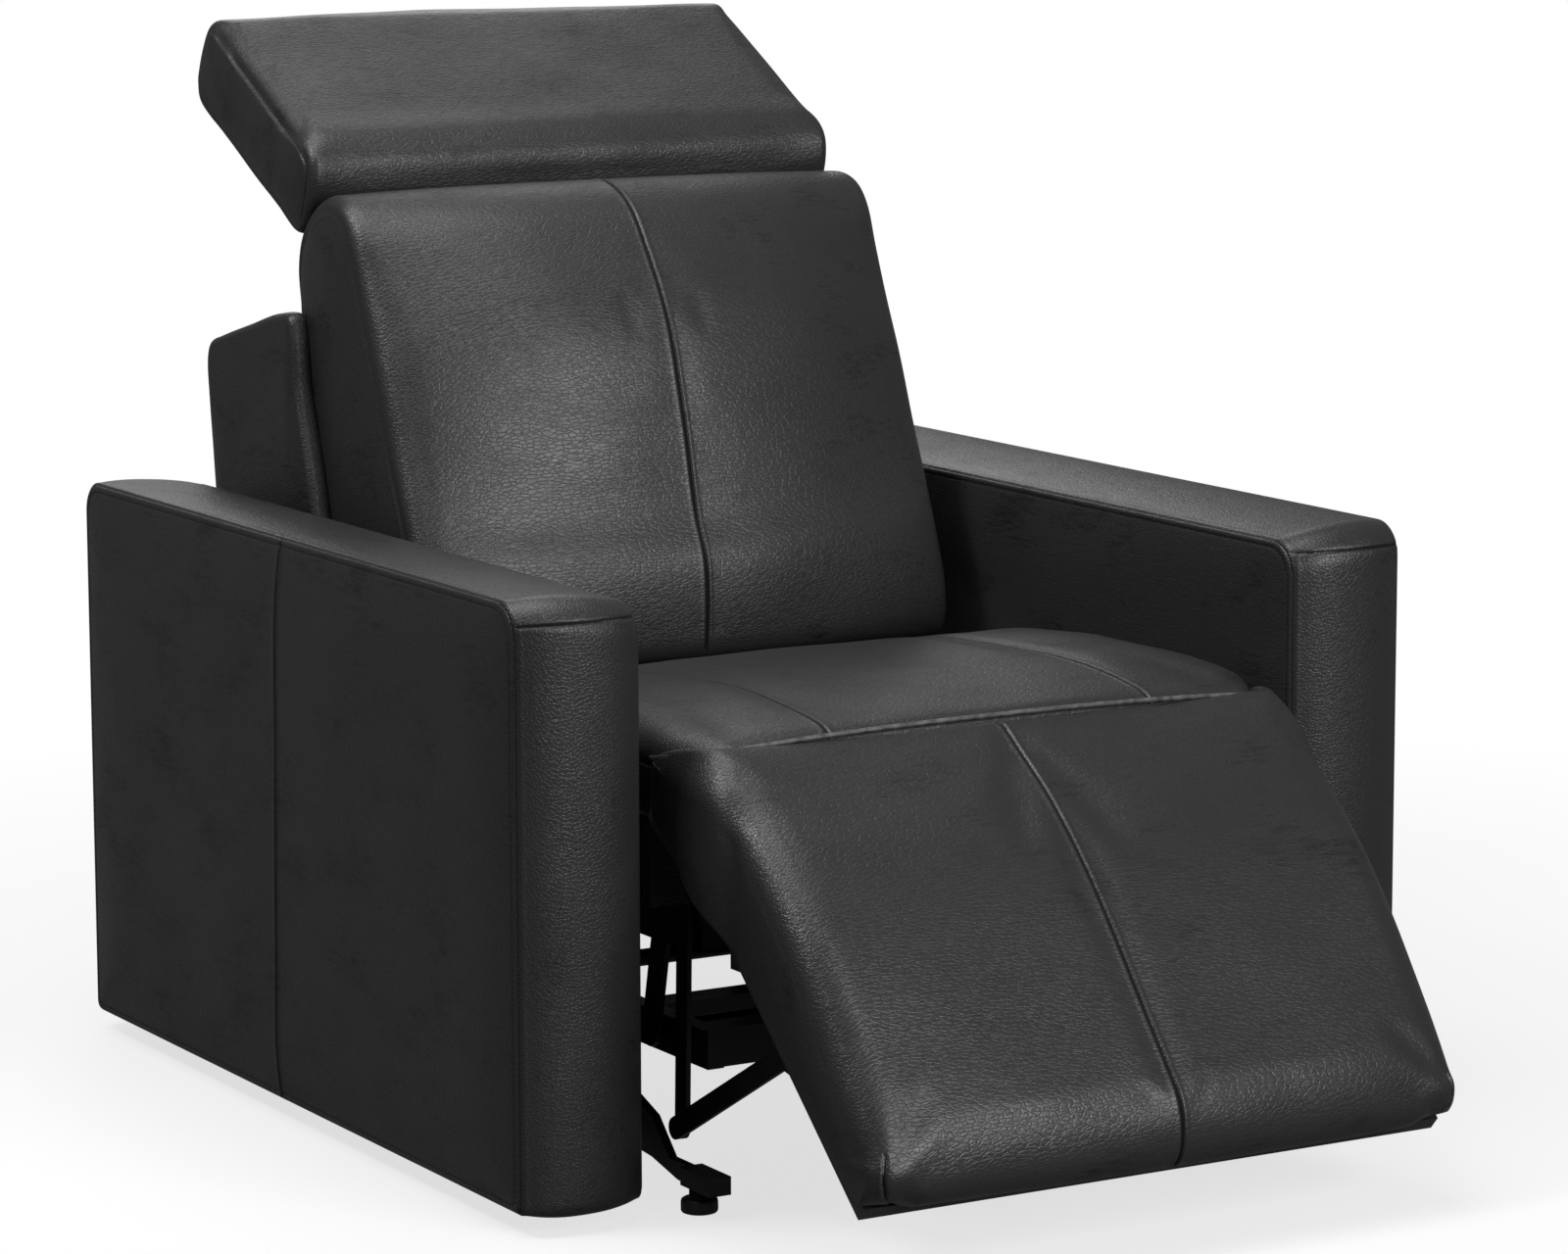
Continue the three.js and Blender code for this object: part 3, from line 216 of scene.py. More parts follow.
# Nylon 6: a matt moulded black with a soft, slightly grey edge.
nylon, tree, shader = new_material("moulded_nylon", IOR=1.53)
place = add(tree, "ShaderNodeTexCoord").outputs["Object"]
scuff = add(tree, "ShaderNodeTexNoise", {"Vector": place, "Scale": 1 / 0.004, "Detail": 5})
surface(tree, shader, scuff.outputs["Fac"], ("#18181a", "#2a2a2c"), (0.42, 0.62))

foot_profile = [  # radius and height in millimetres, from the floor up to the stem
    (15.6, 0), (17, 0.5), (17.9, 1.8), (18, 4), (18, 10.5), (17.4, 12.6), (15.8, 13.7), (12.5, 14),
    (10, 14), (10, 23.6),
]
foot_points, grip_depth, grip_heights = 48, 0.35, (4, 10.5)  # every second point is a groove
for end in ("front", "rear"):
    for side in ("left", "right"):
        low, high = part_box(f"foot_{end}_{side}")
        axis = (low + high) / 2
        rings = []
        for radius, height in foot_profile:
            groove = grip_depth if height in grip_heights else 0
            ring = []
            for i in range(foot_points):
                out, turn = (radius - groove * (i % 2)) / 1000, math.tau * i / foot_points
                ring.append((axis.x + out * math.cos(turn), axis.y + out * math.sin(turn), height / 1000))
            rings.append(ring)
        foot = from_rings(f"levelling_foot_{end}_{side}", rings)
        foot.data.materials.append(nylon)
        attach(foot, "base")
        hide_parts(f"foot_{end}_{side}")

# Timber: the ring inside each arm, the deck under the seat and the board of the back are birch
# plywood, cut and glued. They lie under leather or cloth and show only from below.

# Birch plywood: pale, with fine darker figure about 3 mm apart along the sheet, matt and dry.
plywood, tree, shader = new_material("birch_plywood", IOR=1.5)
place = add(tree, "ShaderNodeTexCoord").outputs["Object"]
drawn = add(tree, "ShaderNodeMapping", {"Vector": place, "Scale": (8, 1 / 0.003, 1 / 0.003)})
figure = add(
    tree, "ShaderNodeTexNoise", {"Vector": drawn.outputs["Vector"], "Scale": 1, "Detail": 6, "Distortion": 0.6}
)
surface(
    tree, shader, figure.outputs["Fac"], ("#a98a5f", "#cbb184"), (0.6, 0.8),
    relief=(figure.outputs["Fac"], 0.2, 0.0005),
)
dress(["arm_frame_left", "arm_frame_right"], plywood, bevel=0.0012)

# Dust cloth: spun black polypropylene, stapled over the deck and the back's board. It is dull, and
# bonded in points about 1.5 mm apart, which dimple it.
dust_cloth, tree, shader = new_material("black_dust_cloth", IOR=1.45, Sheen_Weight=0.2)
place = add(tree, "ShaderNodeTexCoord").outputs["Object"]
bonds = add(tree, "ShaderNodeTexVoronoi", {"Vector": place, "Scale": 1 / 0.0015})
fluff = add(tree, "ShaderNodeTexNoise", {"Vector": place, "Scale": 1 / 0.02, "Detail": 5})
surface(
    tree, shader, fluff.outputs["Fac"], ("#0d0d0e", "#19191a"), (0.8, 0.95),
    relief=(bonds.outputs["Distance"], 0.4, 0.0003),
)
dress(["seat_deck", "back_board"], dust_cloth, bevel=0.0012)

# Arms: each is a timber box under foam and leather. A padded band wraps the front, top and rear
# between two side panels. The panels are sewn to it in a seam with a topstitch beside it.

# Leather: cowhide, dyed near black and finished semi-matt. Its pebbled grain is about 2 mm, and
# the stretch over foam draws it into short creases, drawn about 4 mm wide so that they show.


def leather_hide(name, along):
    """Cowhide whose creases run the way that the hide was stretched: along is that axis."""
    material, tree, shader = new_material(name, IOR=1.4)
    place = add(tree, "ShaderNodeTexCoord").outputs["Object"]
    stretched = []  # places in which a pattern of size 1 has the first length along, the second across
    for length, width in ((0.022, 0.0042), (0.0085, 0.0036), (0.09, 0.05)):
        scale = [1 / length if axis == along else 1 / width for axis in "xyz"]
        stretched.append(add(tree, "ShaderNodeMapping", {"Vector": place, "Scale": scale}).outputs["Vector"])
    in_streaks, in_cells, in_blotches = stretched
    streaks = add(
        tree, "ShaderNodeTexNoise", {"Vector": in_streaks, "Scale": 1, "Detail": 3, "Roughness": 0.6}
    )
    cells = add(tree, "ShaderNodeTexVoronoi", {"Vector": in_cells, "Scale": 1}, feature="DISTANCE_TO_EDGE")
    creases = add(tree, "ShaderNodeMapRange", {"Value": cells.outputs["Distance"], "From Max": 0.16})
    pebble = add(tree, "ShaderNodeTexNoise", {"Vector": place, "Scale": 1 / 0.002, "Detail": 2})
    blotches = add(tree, "ShaderNodeTexNoise", {"Vector": in_blotches, "Scale": 1, "Detail": 4})
    folds = add(
        tree, "ShaderNodeMath", {0: streaks.outputs["Fac"], 1: 1.5, 2: creases.outputs["Result"]},
        operation="MULTIPLY_ADD",
    )
    grain = add(
        tree, "ShaderNodeMath", {0: pebble.outputs["Fac"], 1: 0.7, 2: folds.outputs[0]},
        operation="MULTIPLY_ADD",
    )
    shade = add(
        tree, "ShaderNodeMath", {0: streaks.outputs["Fac"], 1: 0.8, 2: blotches.outputs["Fac"]},
        operation="MULTIPLY_ADD",
    )
    flecks = add(
        tree, "ShaderNodeMath", {0: pebble.outputs["Fac"], 1: 0.35, 2: shade.outputs[0]},
        operation="MULTIPLY_ADD",
    )
    relief = add(
        tree, "ShaderNodeBump", {"Height": grain.outputs[0], "Strength": 0.3, "Distance": 0.0006}
    )
    tint = add(tree, "ShaderNodeValToRGB", {"Fac": flecks.outputs[0]})
    dark, light = tint.color_ramp.elements
    dark.position, dark.color = 0.75, linear("#111111")
    light.position, light.color = 1.0, linear("#232323")
    gloss = add(
        tree,
        "ShaderNodeMapRange",
        {"Value": shade.outputs[0], "From Min": 0.6, "From Max": 1.2, "To Min": 0.44, "To Max": 0.32},
    )
    tree.links.new(tint.outputs["Color"], shader.inputs["Base Color"])
    tree.links.new(gloss.outputs["Result"], shader.inputs["Roughness"])
    tree.links.new(relief.outputs["Normal"], shader.inputs["Normal"])
    return material


hide_across = leather_hide("cowhide_stretched_across", "x")
hide_along = leather_hide("cowhide_stretched_along", "y")

# Bonded polyester thread: matt black, and coloured darker still as painted shade, for the seam's groove that it
# lies sunk in. The same near-black is laid along the bottom of the seams' grooves as a painted line of shade.
thread_and_groove_shade, tree, shader = new_material("polyester_thread_and_groove_shade", IOR=1.3)
place = add(tree, "ShaderNodeTexCoord").outputs["Object"]
twist = add(tree, "ShaderNodeTexNoise", {"Vector": place, "Scale": 1 / 0.0025, "Detail": 2})
surface(tree, shader, twist.outputs["Fac"], ("#020202", "#090909"), (0.7, 0.9))

# Places are given in millimetres: to the sitter's left, back from the plane of the arms' front
# seams, and up from the arms' underside, which stands over the floor.
front_to_origin, underside_height = 370, 22


def at(x, y, z):
    """The point of the frame, in metres, that lies at this place in millimetres."""
    return Vector((x / 1000, (y - front_to_origin) / 1000, (z + underside_height) / 1000))


arm_inner, arm_thickness, arm_depth, arm_height = 373.5, 131, 990, 580
arm_bulge, arm_drop = 7.5, 11  # of a side panel, and of the top towards the seat
arm_corners = {"foot": 8, "top_front": 33, "top_rear": 28}
band_crown = {"front": 17.5, "top": 5, "rear": 8}
band_steps = [0, 1.2, 2.6, 4.4, 6.6, 9.5, 14, 21, 31, 44, 56]  # from each seam into the band
panel_steps = [1.2, 2.6, 4.4, 6.6, 8, 9.4, 14, 20, 28, 36, 44]  # from each seam into a side panel
long_steps, short_steps, corner_steps = 108, 62, 8  # round the outline, about 9 mm apart
topstitch_inset, topstitch_press = 8, 0.8


def seam_press(d, depth=2.6, lip=0.7, lip_at=4, lip_width=2.2, groove_width=1.6):
    """How far the skin stands out d mm from a seam: drawn in at it, and full just beside it."""
    full = lip * math.exp(-(((d - lip_at) / lip_width) ** 2))
    return full - depth * math.exp(-((d / groove_width) ** 2))


def arm_outline():
    """Points round the side view of an arm, with the way that the skin faces at each. They start
    in the middle of the front foot corner, and go up the front and back along the top."""
    corners = [
        (0, 0, arm_corners["foot"], 270),
        (0, arm_height, arm_corners["top_front"], 180),
        (arm_depth, arm_height, arm_corners["top_rear"], 90),
        (arm_depth, 0, arm_corners["foot"], 0),
    ]
    arcs = []
    for y, z, radius, start in corners:
        centre = (
            y + math.copysign(radius, arm_depth / 2 - y),
            z + math.copysign(radius, arm_height / 2 - z),
        )
        angles = [math.radians(start - 90 * i / corner_steps) for i in range(corner_steps + 1)]
        arcs.append([
            (centre[0] + radius * math.cos(t), centre[1] + radius * math.sin(t), math.cos(t), math.sin(t))
            for t in angles
        ])
    points = []
    for k, steps in enumerate((short_steps, long_steps, short_steps, long_steps)):
        a, b = arcs[k][-1], arcs[(k + 1) % 4][0]
        points += arcs[k][:-1]
        points += [tuple(a[j] + (b[j] - a[j]) * i / steps for j in range(4)) for i in range(steps)]
    half = corner_steps // 2
    return points[half:] + points[:half]


def filled_ring(ring, across, up):
    """A grid of points inside a ring. The ring's corners lie up, across, up and across steps
    apart, and the grid is a blend of the four sides between them."""
    front, top = ring[: up + 1], ring[up : up + across + 1]
    rear = ring[up + across : 2 * up + across + 1][::-1]
    low = (ring[2 * up + across :] + ring[:1])[::-1]
    grid = []
    for i in range(across + 1):
        u = i / across
        column = []
        for j in range(up + 1):
            v = j / up
            column.append(
                front[j] * (1 - u) + rear[j] * u + low[i] * (1 - v) + top[i] * v
                - (low[0] * (1 - u) + low[-1] * u) * (1 - v) - (top[0] * (1 - u) + top[-1] * u) * v
            )
        grid.append(column)
    return grid


def undulate(point, size, height):
    """The slow unevenness of hand-laid foam under leather: waves size wide and height high, in
    millimetres, at a point in metres."""
    return height * noise.noise(Vector(point) * (1000 / size))


def clamped(value):
    """The value, kept between 0 and 1."""
    return min(max(value, 0), 1)


def arm_point(side, depth_in, y, z, out_y=0, out_z=0, out=0):
    """A point of an arm's cover, depth_in from the plane of its inner seam and moved out by out.
    The arm gets lower towards the seat."""
    x = arm_inner + depth_in
    z = (z + out_z * out) * (1 - arm_drop / arm_height * clamped(1 - depth_in / arm_thickness))
    return at(side * x, y + out_y * out, z)


def stitch(name, line, way, body):
    """A run of thread stitches along a closed line, standing out to the side that way gives."""
    pitch, length, thick, sides = 0.0056, 0.0042, 0.0005, 6  # in metres; drawn coarse, so they show
    shape = ((0, 0.3), (0.25, 1), (0.75, 1), (1, 0.3))  # share along a stitch, and share of thick
    points, faces, walked = [], [], 0
    for a, b in zip(line, line[1:] + line[:1]):
        step = (b - a).length
        ahead = (b - a).normalized()
        aside = ahead.cross(Vector((way, 0, 0))).normalized()
        while walked < step:
            start = len(points)
            for share, size in shape:
                middle = a + ahead * (walked + share * length) + Vector((way * thick * 0.4, 0, 0))
                for t in (i * math.tau / sides for i in range(sides)):
                    out = aside * math.cos(t) + Vector((way, 0, 0)) * math.sin(t)
                    points.append(tuple(middle + out * thick * size))
            rows = [range(start + r, start + r + sides) for r in range(0, len(shape) * sides, sides)]
            faces += [
                (one[i], one[(i + 1) % sides], two[(i + 1) % sides], two[i])
                for one, two in zip(rows, rows[1:])
                for i in range(sides)
            ]
            faces += [tuple(rows[0]), tuple(rows[-1])]
            walked += pitch
        walked -= step
    mesh = bpy.data.meshes.new(name)
    mesh.from_pydata(points, [], faces)
    turn_out(mesh)
    run = linked(name, mesh)
    run.data.materials.append(thread_and_groove_shade)
    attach(run, body)


def arm_cover(name, side):
    """The leather over an arm: a side panel, the band and the other side panel, ring by ring."""
    outline = arm_outline()
    middle = (arm_depth / 2, arm_height / 2)
    across, up = long_steps + corner_steps, short_steps + corner_steps

    def panel_point(depth_in, way, y, z, inset):
        """A point of the side panel that faces way, inset from its seam. The panel is full 120 mm
        from the seam, and uneven from 60 mm."""
        swell = arm_bulge * (1 - max(0, 1 - inset / 120) ** 3) + seam_press(inset)
        if inset == topstitch_inset:
            swell -= topstitch_press
        soft = undulate((side * way, y / 1000, z / 1000), 150, 1.6) * min(1, inset / 60)
        return arm_point(side, depth_in + way * (swell + soft), y, z)

    panels, grids = [], []
    for depth_in, way in ((0, -1), (arm_thickness, 1)):
        panel = []
        for inset in panel_steps:
            shrunk = [
                Vector((
                    middle[0] + (y - middle[0]) * (1 - 2 * inset / arm_depth),
                    middle[1] + (z - middle[1]) * (1 - 2 * inset / arm_height),
                ))
                for y, z, *_ in outline
            ]
            panel.append([panel_point(depth_in, way, *p, inset) for p in shrunk])
        panels.append(panel)
        grids.append([
            [
                panel_point(depth_in, way, *p, min(p.x, arm_depth - p.x, p.y, arm_height - p.y))
                for p in column
            ]
            for column in filled_ring(shrunk, across, up)
        ])
    band = []
    for s in [*band_steps, arm_thickness / 2, *(arm_thickness - s for s in reversed(band_steps))]:
        from_seam = min(s, arm_thickness - s)
        roundness = 1 - abs(2 * s / arm_thickness - 1) ** 2.5
        ring = []
        for y, z, out_y, out_z in outline:
            crown = (
                max(0, -out_y) * band_crown["front"] + max(0, out_y) * band_crown["rear"]
                + max(0, out_z) * band_crown["top"]
            )
            soft = undulate((side * s / 1000, y / 1000, z / 1000), 120, 0.9) * min(1, from_seam / 20)
            out = crown * roundness + seam_press(from_seam) + soft
            ring.append(arm_point(side, s, y, z, out_y, out_z, out))
        band.append(ring)
    cover = from_rings(name, panels[0][::-1] + band + panels[1], grids=grids)
    cover.data.materials.append(hide_along)
    cover.data.materials.append(thread_and_groove_shade)
    # The faces at the two band seams take the thread's near-black: painted shade in the grooves, with the
    # thread.
    for seam in (len(panels[0]), len(panels[0]) + len(band) - 1):
        for k in range((seam - 1) * len(outline), (seam + 1) * len(outline)):
            cover.data.polygons[k].material_index = 1
    for panel, way in zip(panels, (-side, side)):  # one line of stitches inside each seam
        stitch(f"{name}_topstitch", panel[panel_steps.index(topstitch_inset)], way, "base")
    return cover


def sew(piece, point, across, strength, depth=2.8, lip=0.6, pucker=0.25):
    """A stitched seam in the plane through point. The skin is cut along it, drawn in at it, full beside it and
    gathered along it, where strength, from 0 to 1, says so. The faces in the bottom of the groove take the
    piece's second material, the thread's near-black, which is partly the thread and partly painted shade of the
    groove."""
    across = Vector(across).normalized()
    reach, thread_shade_reach = 40, 1.6
    skin = bmesh.new()
    skin.from_mesh(piece.data)
    for offset in (0, 1.5, -1.5, 2.8, -2.8, 4.4, -4.4, 7, -7):
        near = [f for f in skin.faces if any(strength(v.co, v.normal) > 0 for v in f.verts)]
        edges, corners = {e for f in near for e in f.edges}, {v for f in near for v in f.verts}
        bmesh.ops.bisect_plane(
            skin, geom=list(edges) + list(corners) + near, dist=1e-6,
            plane_co=point + across * (offset / 1000), plane_no=across,
        )
    skin.normal_update()
    moves = []
    for v in skin.verts:
        d = abs((v.co - point).dot(across)) * 1000
        if d > reach:
            continue
        press = seam_press(d, depth, lip, lip_at=3.6, lip_width=2, groove_width=1.7)
        gather = pucker * math.exp(-d / 9) * noise.noise(v.co * 85)
        moves.append((v, v.normal * ((press + gather) / 1000 * strength(v.co, v.normal))))
    for v, move in moves:
        v.co += move
    # The groove's bottom is painted near-black: painted shade, with the thread that lies there.
    for face in skin.faces:
        if all(
            abs((v.co - point).dot(across)) < thread_shade_reach / 1000 and strength(v.co, v.normal) > 0.3
            for v in face.verts
        ):
            face.material_index = 1
    bmesh.ops.recalc_face_normals(skin, faces=skin.faces)
    skin.to_mesh(piece.data)
    skin.free()
    piece.data.polygons.foreach_set("use_smooth", [True] * len(piece.data.polygons))


def smooth_skin(piece):
    """One subdivision, applied, so that the mesh is final."""
    halving = piece.modifiers.new("smooth", "SUBSURF")
    halving.levels, halving.use_limit_surface = 1, False
    fixed = bpy.data.meshes.new_from_object(piece.evaluated_get(bpy.context.evaluated_depsgraph_get()))
    piece.modifiers.clear()
    piece.data = fixed


# Besides the two round the band, an arm has a seam across the top of its front, and one that
# leans a little, down the middle of its outer panel.
for name, side in (("left", 1), ("right", -1)):
    arm = arm_cover(f"arm_cover_{name}", side)
    front_seam = at(side * (arm_inner + arm_thickness / 2), 0, 559)
    sew(
        arm, front_seam, (0, 0.1, 1), lambda p, n: clamped(-n.y * 2 - 0.8) if p.y < -0.36 else 0,
        depth=1.0, lip=0.5, pucker=0.3,
    )
    side_seam = at(side * (arm_inner + arm_thickness), 508.5, 294)
    sew(arm, side_seam, (0, 571.5, 19), lambda p, n, s=side: clamped(s * n.x * 4 - 2.6), depth=2.2, lip=0.7)
    smooth_skin(arm)
    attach(arm, "base")
    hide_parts(f"arm_outer_panel_{name}", f"arm_inner_panel_{name}", f"arm_band_{name}")

# Keypad: a moulded plate let into the inner face of the sitter's right arm, with a rocker for
# the leg rest and one for the back. The nodes have their real shape.

# ABS: satin black with the fine spark-eroded texture of a mould, drawn at 0.8 mm so it shows.
abs_plastic, tree, shader = new_material("moulded_abs", IOR=1.54)
place = add(tree, "ShaderNodeTexCoord").outputs["Object"]
spark = add(tree, "ShaderNodeTexNoise", {"Vector": place, "Scale": 1 / 0.0008, "Detail": 2})
wear = add(tree, "ShaderNodeTexNoise", {"Vector": place, "Scale": 1 / 0.03, "Detail": 4})
surface(
    tree, shader, wear.outputs["Fac"], ("#131314", "#202021"), (0.36, 0.5),
    relief=(spark.outputs["Fac"], 0.15, 0.0003),
)
dress(["keypad_plate", "rocker_leg_rest", "rocker_back"], abs_plastic, bevel=0.0005)

# Drives: the leg rest's motor and the control box have moulded housings, and a zinc-plated rod
# with a forked end runs from each rail. The nodes have their real shape.
dress(["control_box", "leg_rest_motor"], abs_plastic, bevel=0.003)

# Zinc plate: bright and slightly blue, with the fine rings left by drawing the rod.
zinc_plate, tree, shader = new_material("zinc_plate", Metallic=1)
place = add(tree, "ShaderNodeTexCoord").outputs["Object"]
drawn = add(tree, "ShaderNodeMapping", {"Vector": place, "Scale": (1 / 0.02, 1 / 0.0012, 1 / 0.02)})
drawing_rings = add(tree, "ShaderNodeTexNoise", {"Vector": drawn.outputs["Vector"], "Scale": 1, "Detail": 3})
surface(tree, shader, drawing_rings.outputs["Fac"], ("#8f9296", "#b4b7bb"), (0.24, 0.4))
dress(["leg_rest_rod", "glide_rod"], zinc_plate)

# Seat: a foam cushion under leather, sewn from three panels. It is fullest under the thighs,
# falls away towards the back, rolls over at the sides, and lies on the deck.


def curve(points, count):
    """A smooth line through the points, a centripetal spline, cut into count steps of one length."""
    parts = 24  # between two points, from which the steps are then measured off
    points = [Vector((*p, 0)) for p in points]
    ends = [2 * points[0] - points[1], *points, 2 * points[-1] - points[-2]]
    fine = []
    for a, b, c, d in zip(ends, ends[1:], ends[2:], ends[3:]):
        t1 = (b - a).length ** 0.5
        t2 = t1 + (c - b).length ** 0.5
        t3 = t2 + (d - c).length ** 0.5
        for i in range(parts):
            t = t1 + (t2 - t1) * i / parts
            here = (t - t1) / (t2 - t1)
            first, second, third = a.lerp(b, t / t1), b.lerp(c, here), c.lerp(d, (t - t2) / (t3 - t2))
            coming, going = first.lerp(second, t / t2), second.lerp(third, (t - t1) / (t3 - t1))
            fine.append(coming.lerp(going, here))
    fine.append(points[-1])
    reach = [0]
    for a, b in zip(fine, fine[1:]):
        reach.append(reach[-1] + (b - a).length)
    line, k = [], 0
    for i in range(count + 1):
        goal = reach[-1] * i / count
        while k < len(fine) - 2 and reach[k + 1] < goal:
            k += 1
        share = (goal - reach[k]) / max(reach[k + 1] - reach[k], 1e-9)
        line.append(fine[k].lerp(fine[k + 1], clamped(share)).xy)
    return line


def ease(value, start, end):
    """0 before start, 1 after end, and a smooth rise between them."""
    share = clamped((value - start) / (end - start))
    return share * share * (3 - 2 * share)


cushion_panel = [0, 0.018, 0.04, 0.07, 0.11, 0.17, 0.26, 0.37, 0.5, 0.63, 0.76, 0.88, 1]


def padded_form(
    name, materials, face, side_face, base, half_width, *, edge, bulge, sewn, base_draw, proud,
    fullness=2.4, centre=0, grid=9, panel_shares=cushion_panel, extra=(),
):
    """A closed cushion. Its face runs over the first line in the middle and over the second at
    its sides, its base lies on the third, and a side panel is sewn in at each end. All three
    lines start and end at the same places, where face and base meet.

    edge is the radius of the roll where the face turns to the side panels, bulge how far these
    swell, and sewn how deep their seams are drawn in. The base takes base_draw of the roll, and
    the sides of the skin stand proud of their line. A higher fullness makes the crown squarer.
    Points are about grid apart, at panel_shares down a side panel, and also at extra across."""
    count = max(round(sum(math.dist(a, b) for a, b in zip(face, face[1:])) / grid), 8)
    crest, flank, bed = [curve(points, count) for points in (face, side_face, base)]
    flat_half = half_width - edge
    steps = max(1, round(flat_half / grid))
    stations = [flat_half * i / steps for i in range(steps + 1)]
    stations = sorted({-x for x in stations} | set(stations) | set(extra))
    rings = [(x, 0) for x in stations]
    for angle in (18, 36, 52, 66, 79, 90):
        x = half_width - edge * (1 - math.sin(math.radians(angle)))
        drawn = edge * (1 - math.cos(math.radians(angle)))
        rings = [(-x, drawn), *rings, (x, drawn)]
    n = 2 * count
    weights = [base_draw + (1 - base_draw) * ease(min(i, count - i), 0, 5) for i in range(n)]
    points, faces = [], []
    for x, drawn in rings:
        full = 1 - abs(x / half_width) ** fullness
        ring = [side.lerp(middle, full) for middle, side in zip(crest, flank)] + bed[1:-1][::-1]
        turn = 1 if sum(a.cross(b) for a, b in zip(ring, ring[1:] + ring[:1])) > 0 else -1
        pulled = 0  # the panel's seam is drawn in, and the skin just before it stands out
        if abs(x) > half_width - 0.01:
            pulled = 0.6 * sewn
        elif abs(x) > half_width - edge * 0.03:
            pulled = -0.18 * sewn
        for i, p in enumerate(ring):
            way = (ring[(i + 1) % n] - ring[i - 1]).normalized()
            inward = Vector((-way.y, way.x)) * turn
            q = p + inward * weights[i] * (drawn + pulled - proud * (1 - full))
            points.append(at(centre + x - math.copysign(pulled * weights[i], x), *q))
    for r in range(len(rings) - 1):
        for i in range(n):
            faces.append((r * n + i, r * n + (i + 1) % n, (r + 1) * n + (i + 1) % n, (r + 1) * n + i))
    last = len(panel_shares) - 1
    for start, way in ((0, -1), ((len(rings) - 1) * n, 1)):
        rungs = []
        for i in range(1, count):
            a, b = start + i, start + (n - i)
            length = (points[b] - points[a]).length * 1000
            end_taper = min(1, 4 * min(i, count - i) / count)
            rung = [a]
            for share in panel_shares[1:-1]:
                swell = bulge * (1 - abs(2 * share - 1) ** 2.2) * end_taper
                if sewn:
                    swell += seam_press(share * length, sewn, 0.4 * sewn) * min(1, end_taper * 2)
                rung.append(len(points))
                points.append(points[a].lerp(points[b], share) + Vector((way * swell / 1000, 0, 0)))
            rungs.append([*rung, b])
        for one, two in zip(rungs, rungs[1:]):
            faces += [(one[k], one[k + 1], two[k + 1], two[k]) for k in range(last)]
        faces += [(start, rungs[0][k + 1], rungs[0][k]) for k in range(last)]
        faces += [(start + count, rungs[-1][k], rungs[-1][k + 1]) for k in range(last)]
    mesh = bpy.data.meshes.new(name)
    mesh.from_pydata([tuple(p) for p in points], [], faces)
    turn_out(mesh)
    for material in materials:
        mesh.materials.append(material)
    return linked(name, mesh)


def inflate(piece, held, pressure=2.5, most=0.003):
    """The air that plumps a cushion between its seams: a cloth simulation, applied. The points
    for which held is true keep their place, and no point moves further than most metres."""
    frames = 12
    start = [v.co.copy() for v in piece.data.vertices]
    fixed = piece.vertex_groups.new(name="held")
    fixed.add([v.index for v in piece.data.vertices if held(v.co, v.normal)], 1, "REPLACE")
    modifier = piece.modifiers.new("air", "CLOTH")
    cloth = modifier.settings
    cloth.quality = 4
    cloth.mass = 0.5
    cloth.tension_stiffness = cloth.compression_stiffness = 12
    cloth.shear_stiffness = 6
    cloth.bending_stiffness = 4
    cloth.vertex_group_mass = "held"
    cloth.use_pressure = True
    cloth.uniform_pressure_force = pressure
    cloth.effector_weights.gravity = 0
    modifier.collision_settings.use_collision = False
    modifier.collision_settings.use_self_collision = False
    modifier.point_cache.frame_start, modifier.point_cache.frame_end = 1, frames
    for number in range(1, frames + 1):
        scene.frame_set(number)
    grown = piece.evaluated_get(bpy.context.evaluated_depsgraph_get()).data
    ends = [v.co.copy() for v in grown.vertices]
    piece.modifiers.clear()
    piece.vertex_groups.clear()
    scene.frame_set(1)
    for vertex, a, b in zip(piece.data.vertices, start, ends):
        move = b - a
        if move.length > most:
            move *= most / move.length
        vertex.co = a + move


def roughen(piece, size, height, weight=lambda p, n: 1):
    """The slow unevenness of foam under leather, over a whole piece."""
    moves = [
        v.normal * (undulate(v.co, size, height) / 1000 * weight(v.co, v.normal)) for v in piece.data.vertices
    ]
    for vertex, move in zip(piece.data.vertices, moves):
        vertex.co += move


seat_half, seat_seam = 345, 183.5
seat_face = [
    (14, 371), (-10, 392), (-27, 415), (-30, 431), (-20, 440), (20, 447), (84, 451.5), (161, 452), (228, 449.5),
    (310, 444), (392, 435), (449, 423), (477, 409), (484, 393), (478, 372),
]
seat_side = [
    (14, 371), (-10, 390), (-26, 404), (-30, 414), (-20, 424), (20, 434), (84, 440), (161, 441), (228, 438.5),
    (310, 434), (392, 426), (449, 415), (476, 403), (483, 391), (478, 372),
]
seat_base = [
    (14, 371), (20, 362), (34, 355.5), (55, 354.8), (230, 354.8), (430, 354.8), (462, 356), (474, 363),
    (478, 372),
]
seat = padded_form(
    "seat_cushion_cover", (hide_across, thread_and_groove_shade), seat_face, seat_side, seat_base, seat_half,
    edge=32, bulge=5, sewn=2.2, base_draw=0.3, proud=6, extra=(-seat_seam, seat_seam),
)
corner_room = 0.075  # how much narrower the front corners are, to make room for the leg rest's leather
for vertex in seat.data.vertices:
    vertex.co.x *= 1 - corner_room * ease(-vertex.co.y, 0.328, 0.402)


def seat_held(p, n):
    """The skin that lies on the deck, is held by a seam, or is covered by the leg rest's leather."""
    return p.z < 0.380 or abs(abs(p.x) - seat_seam / 1000) < 0.003 or p.y < -0.385


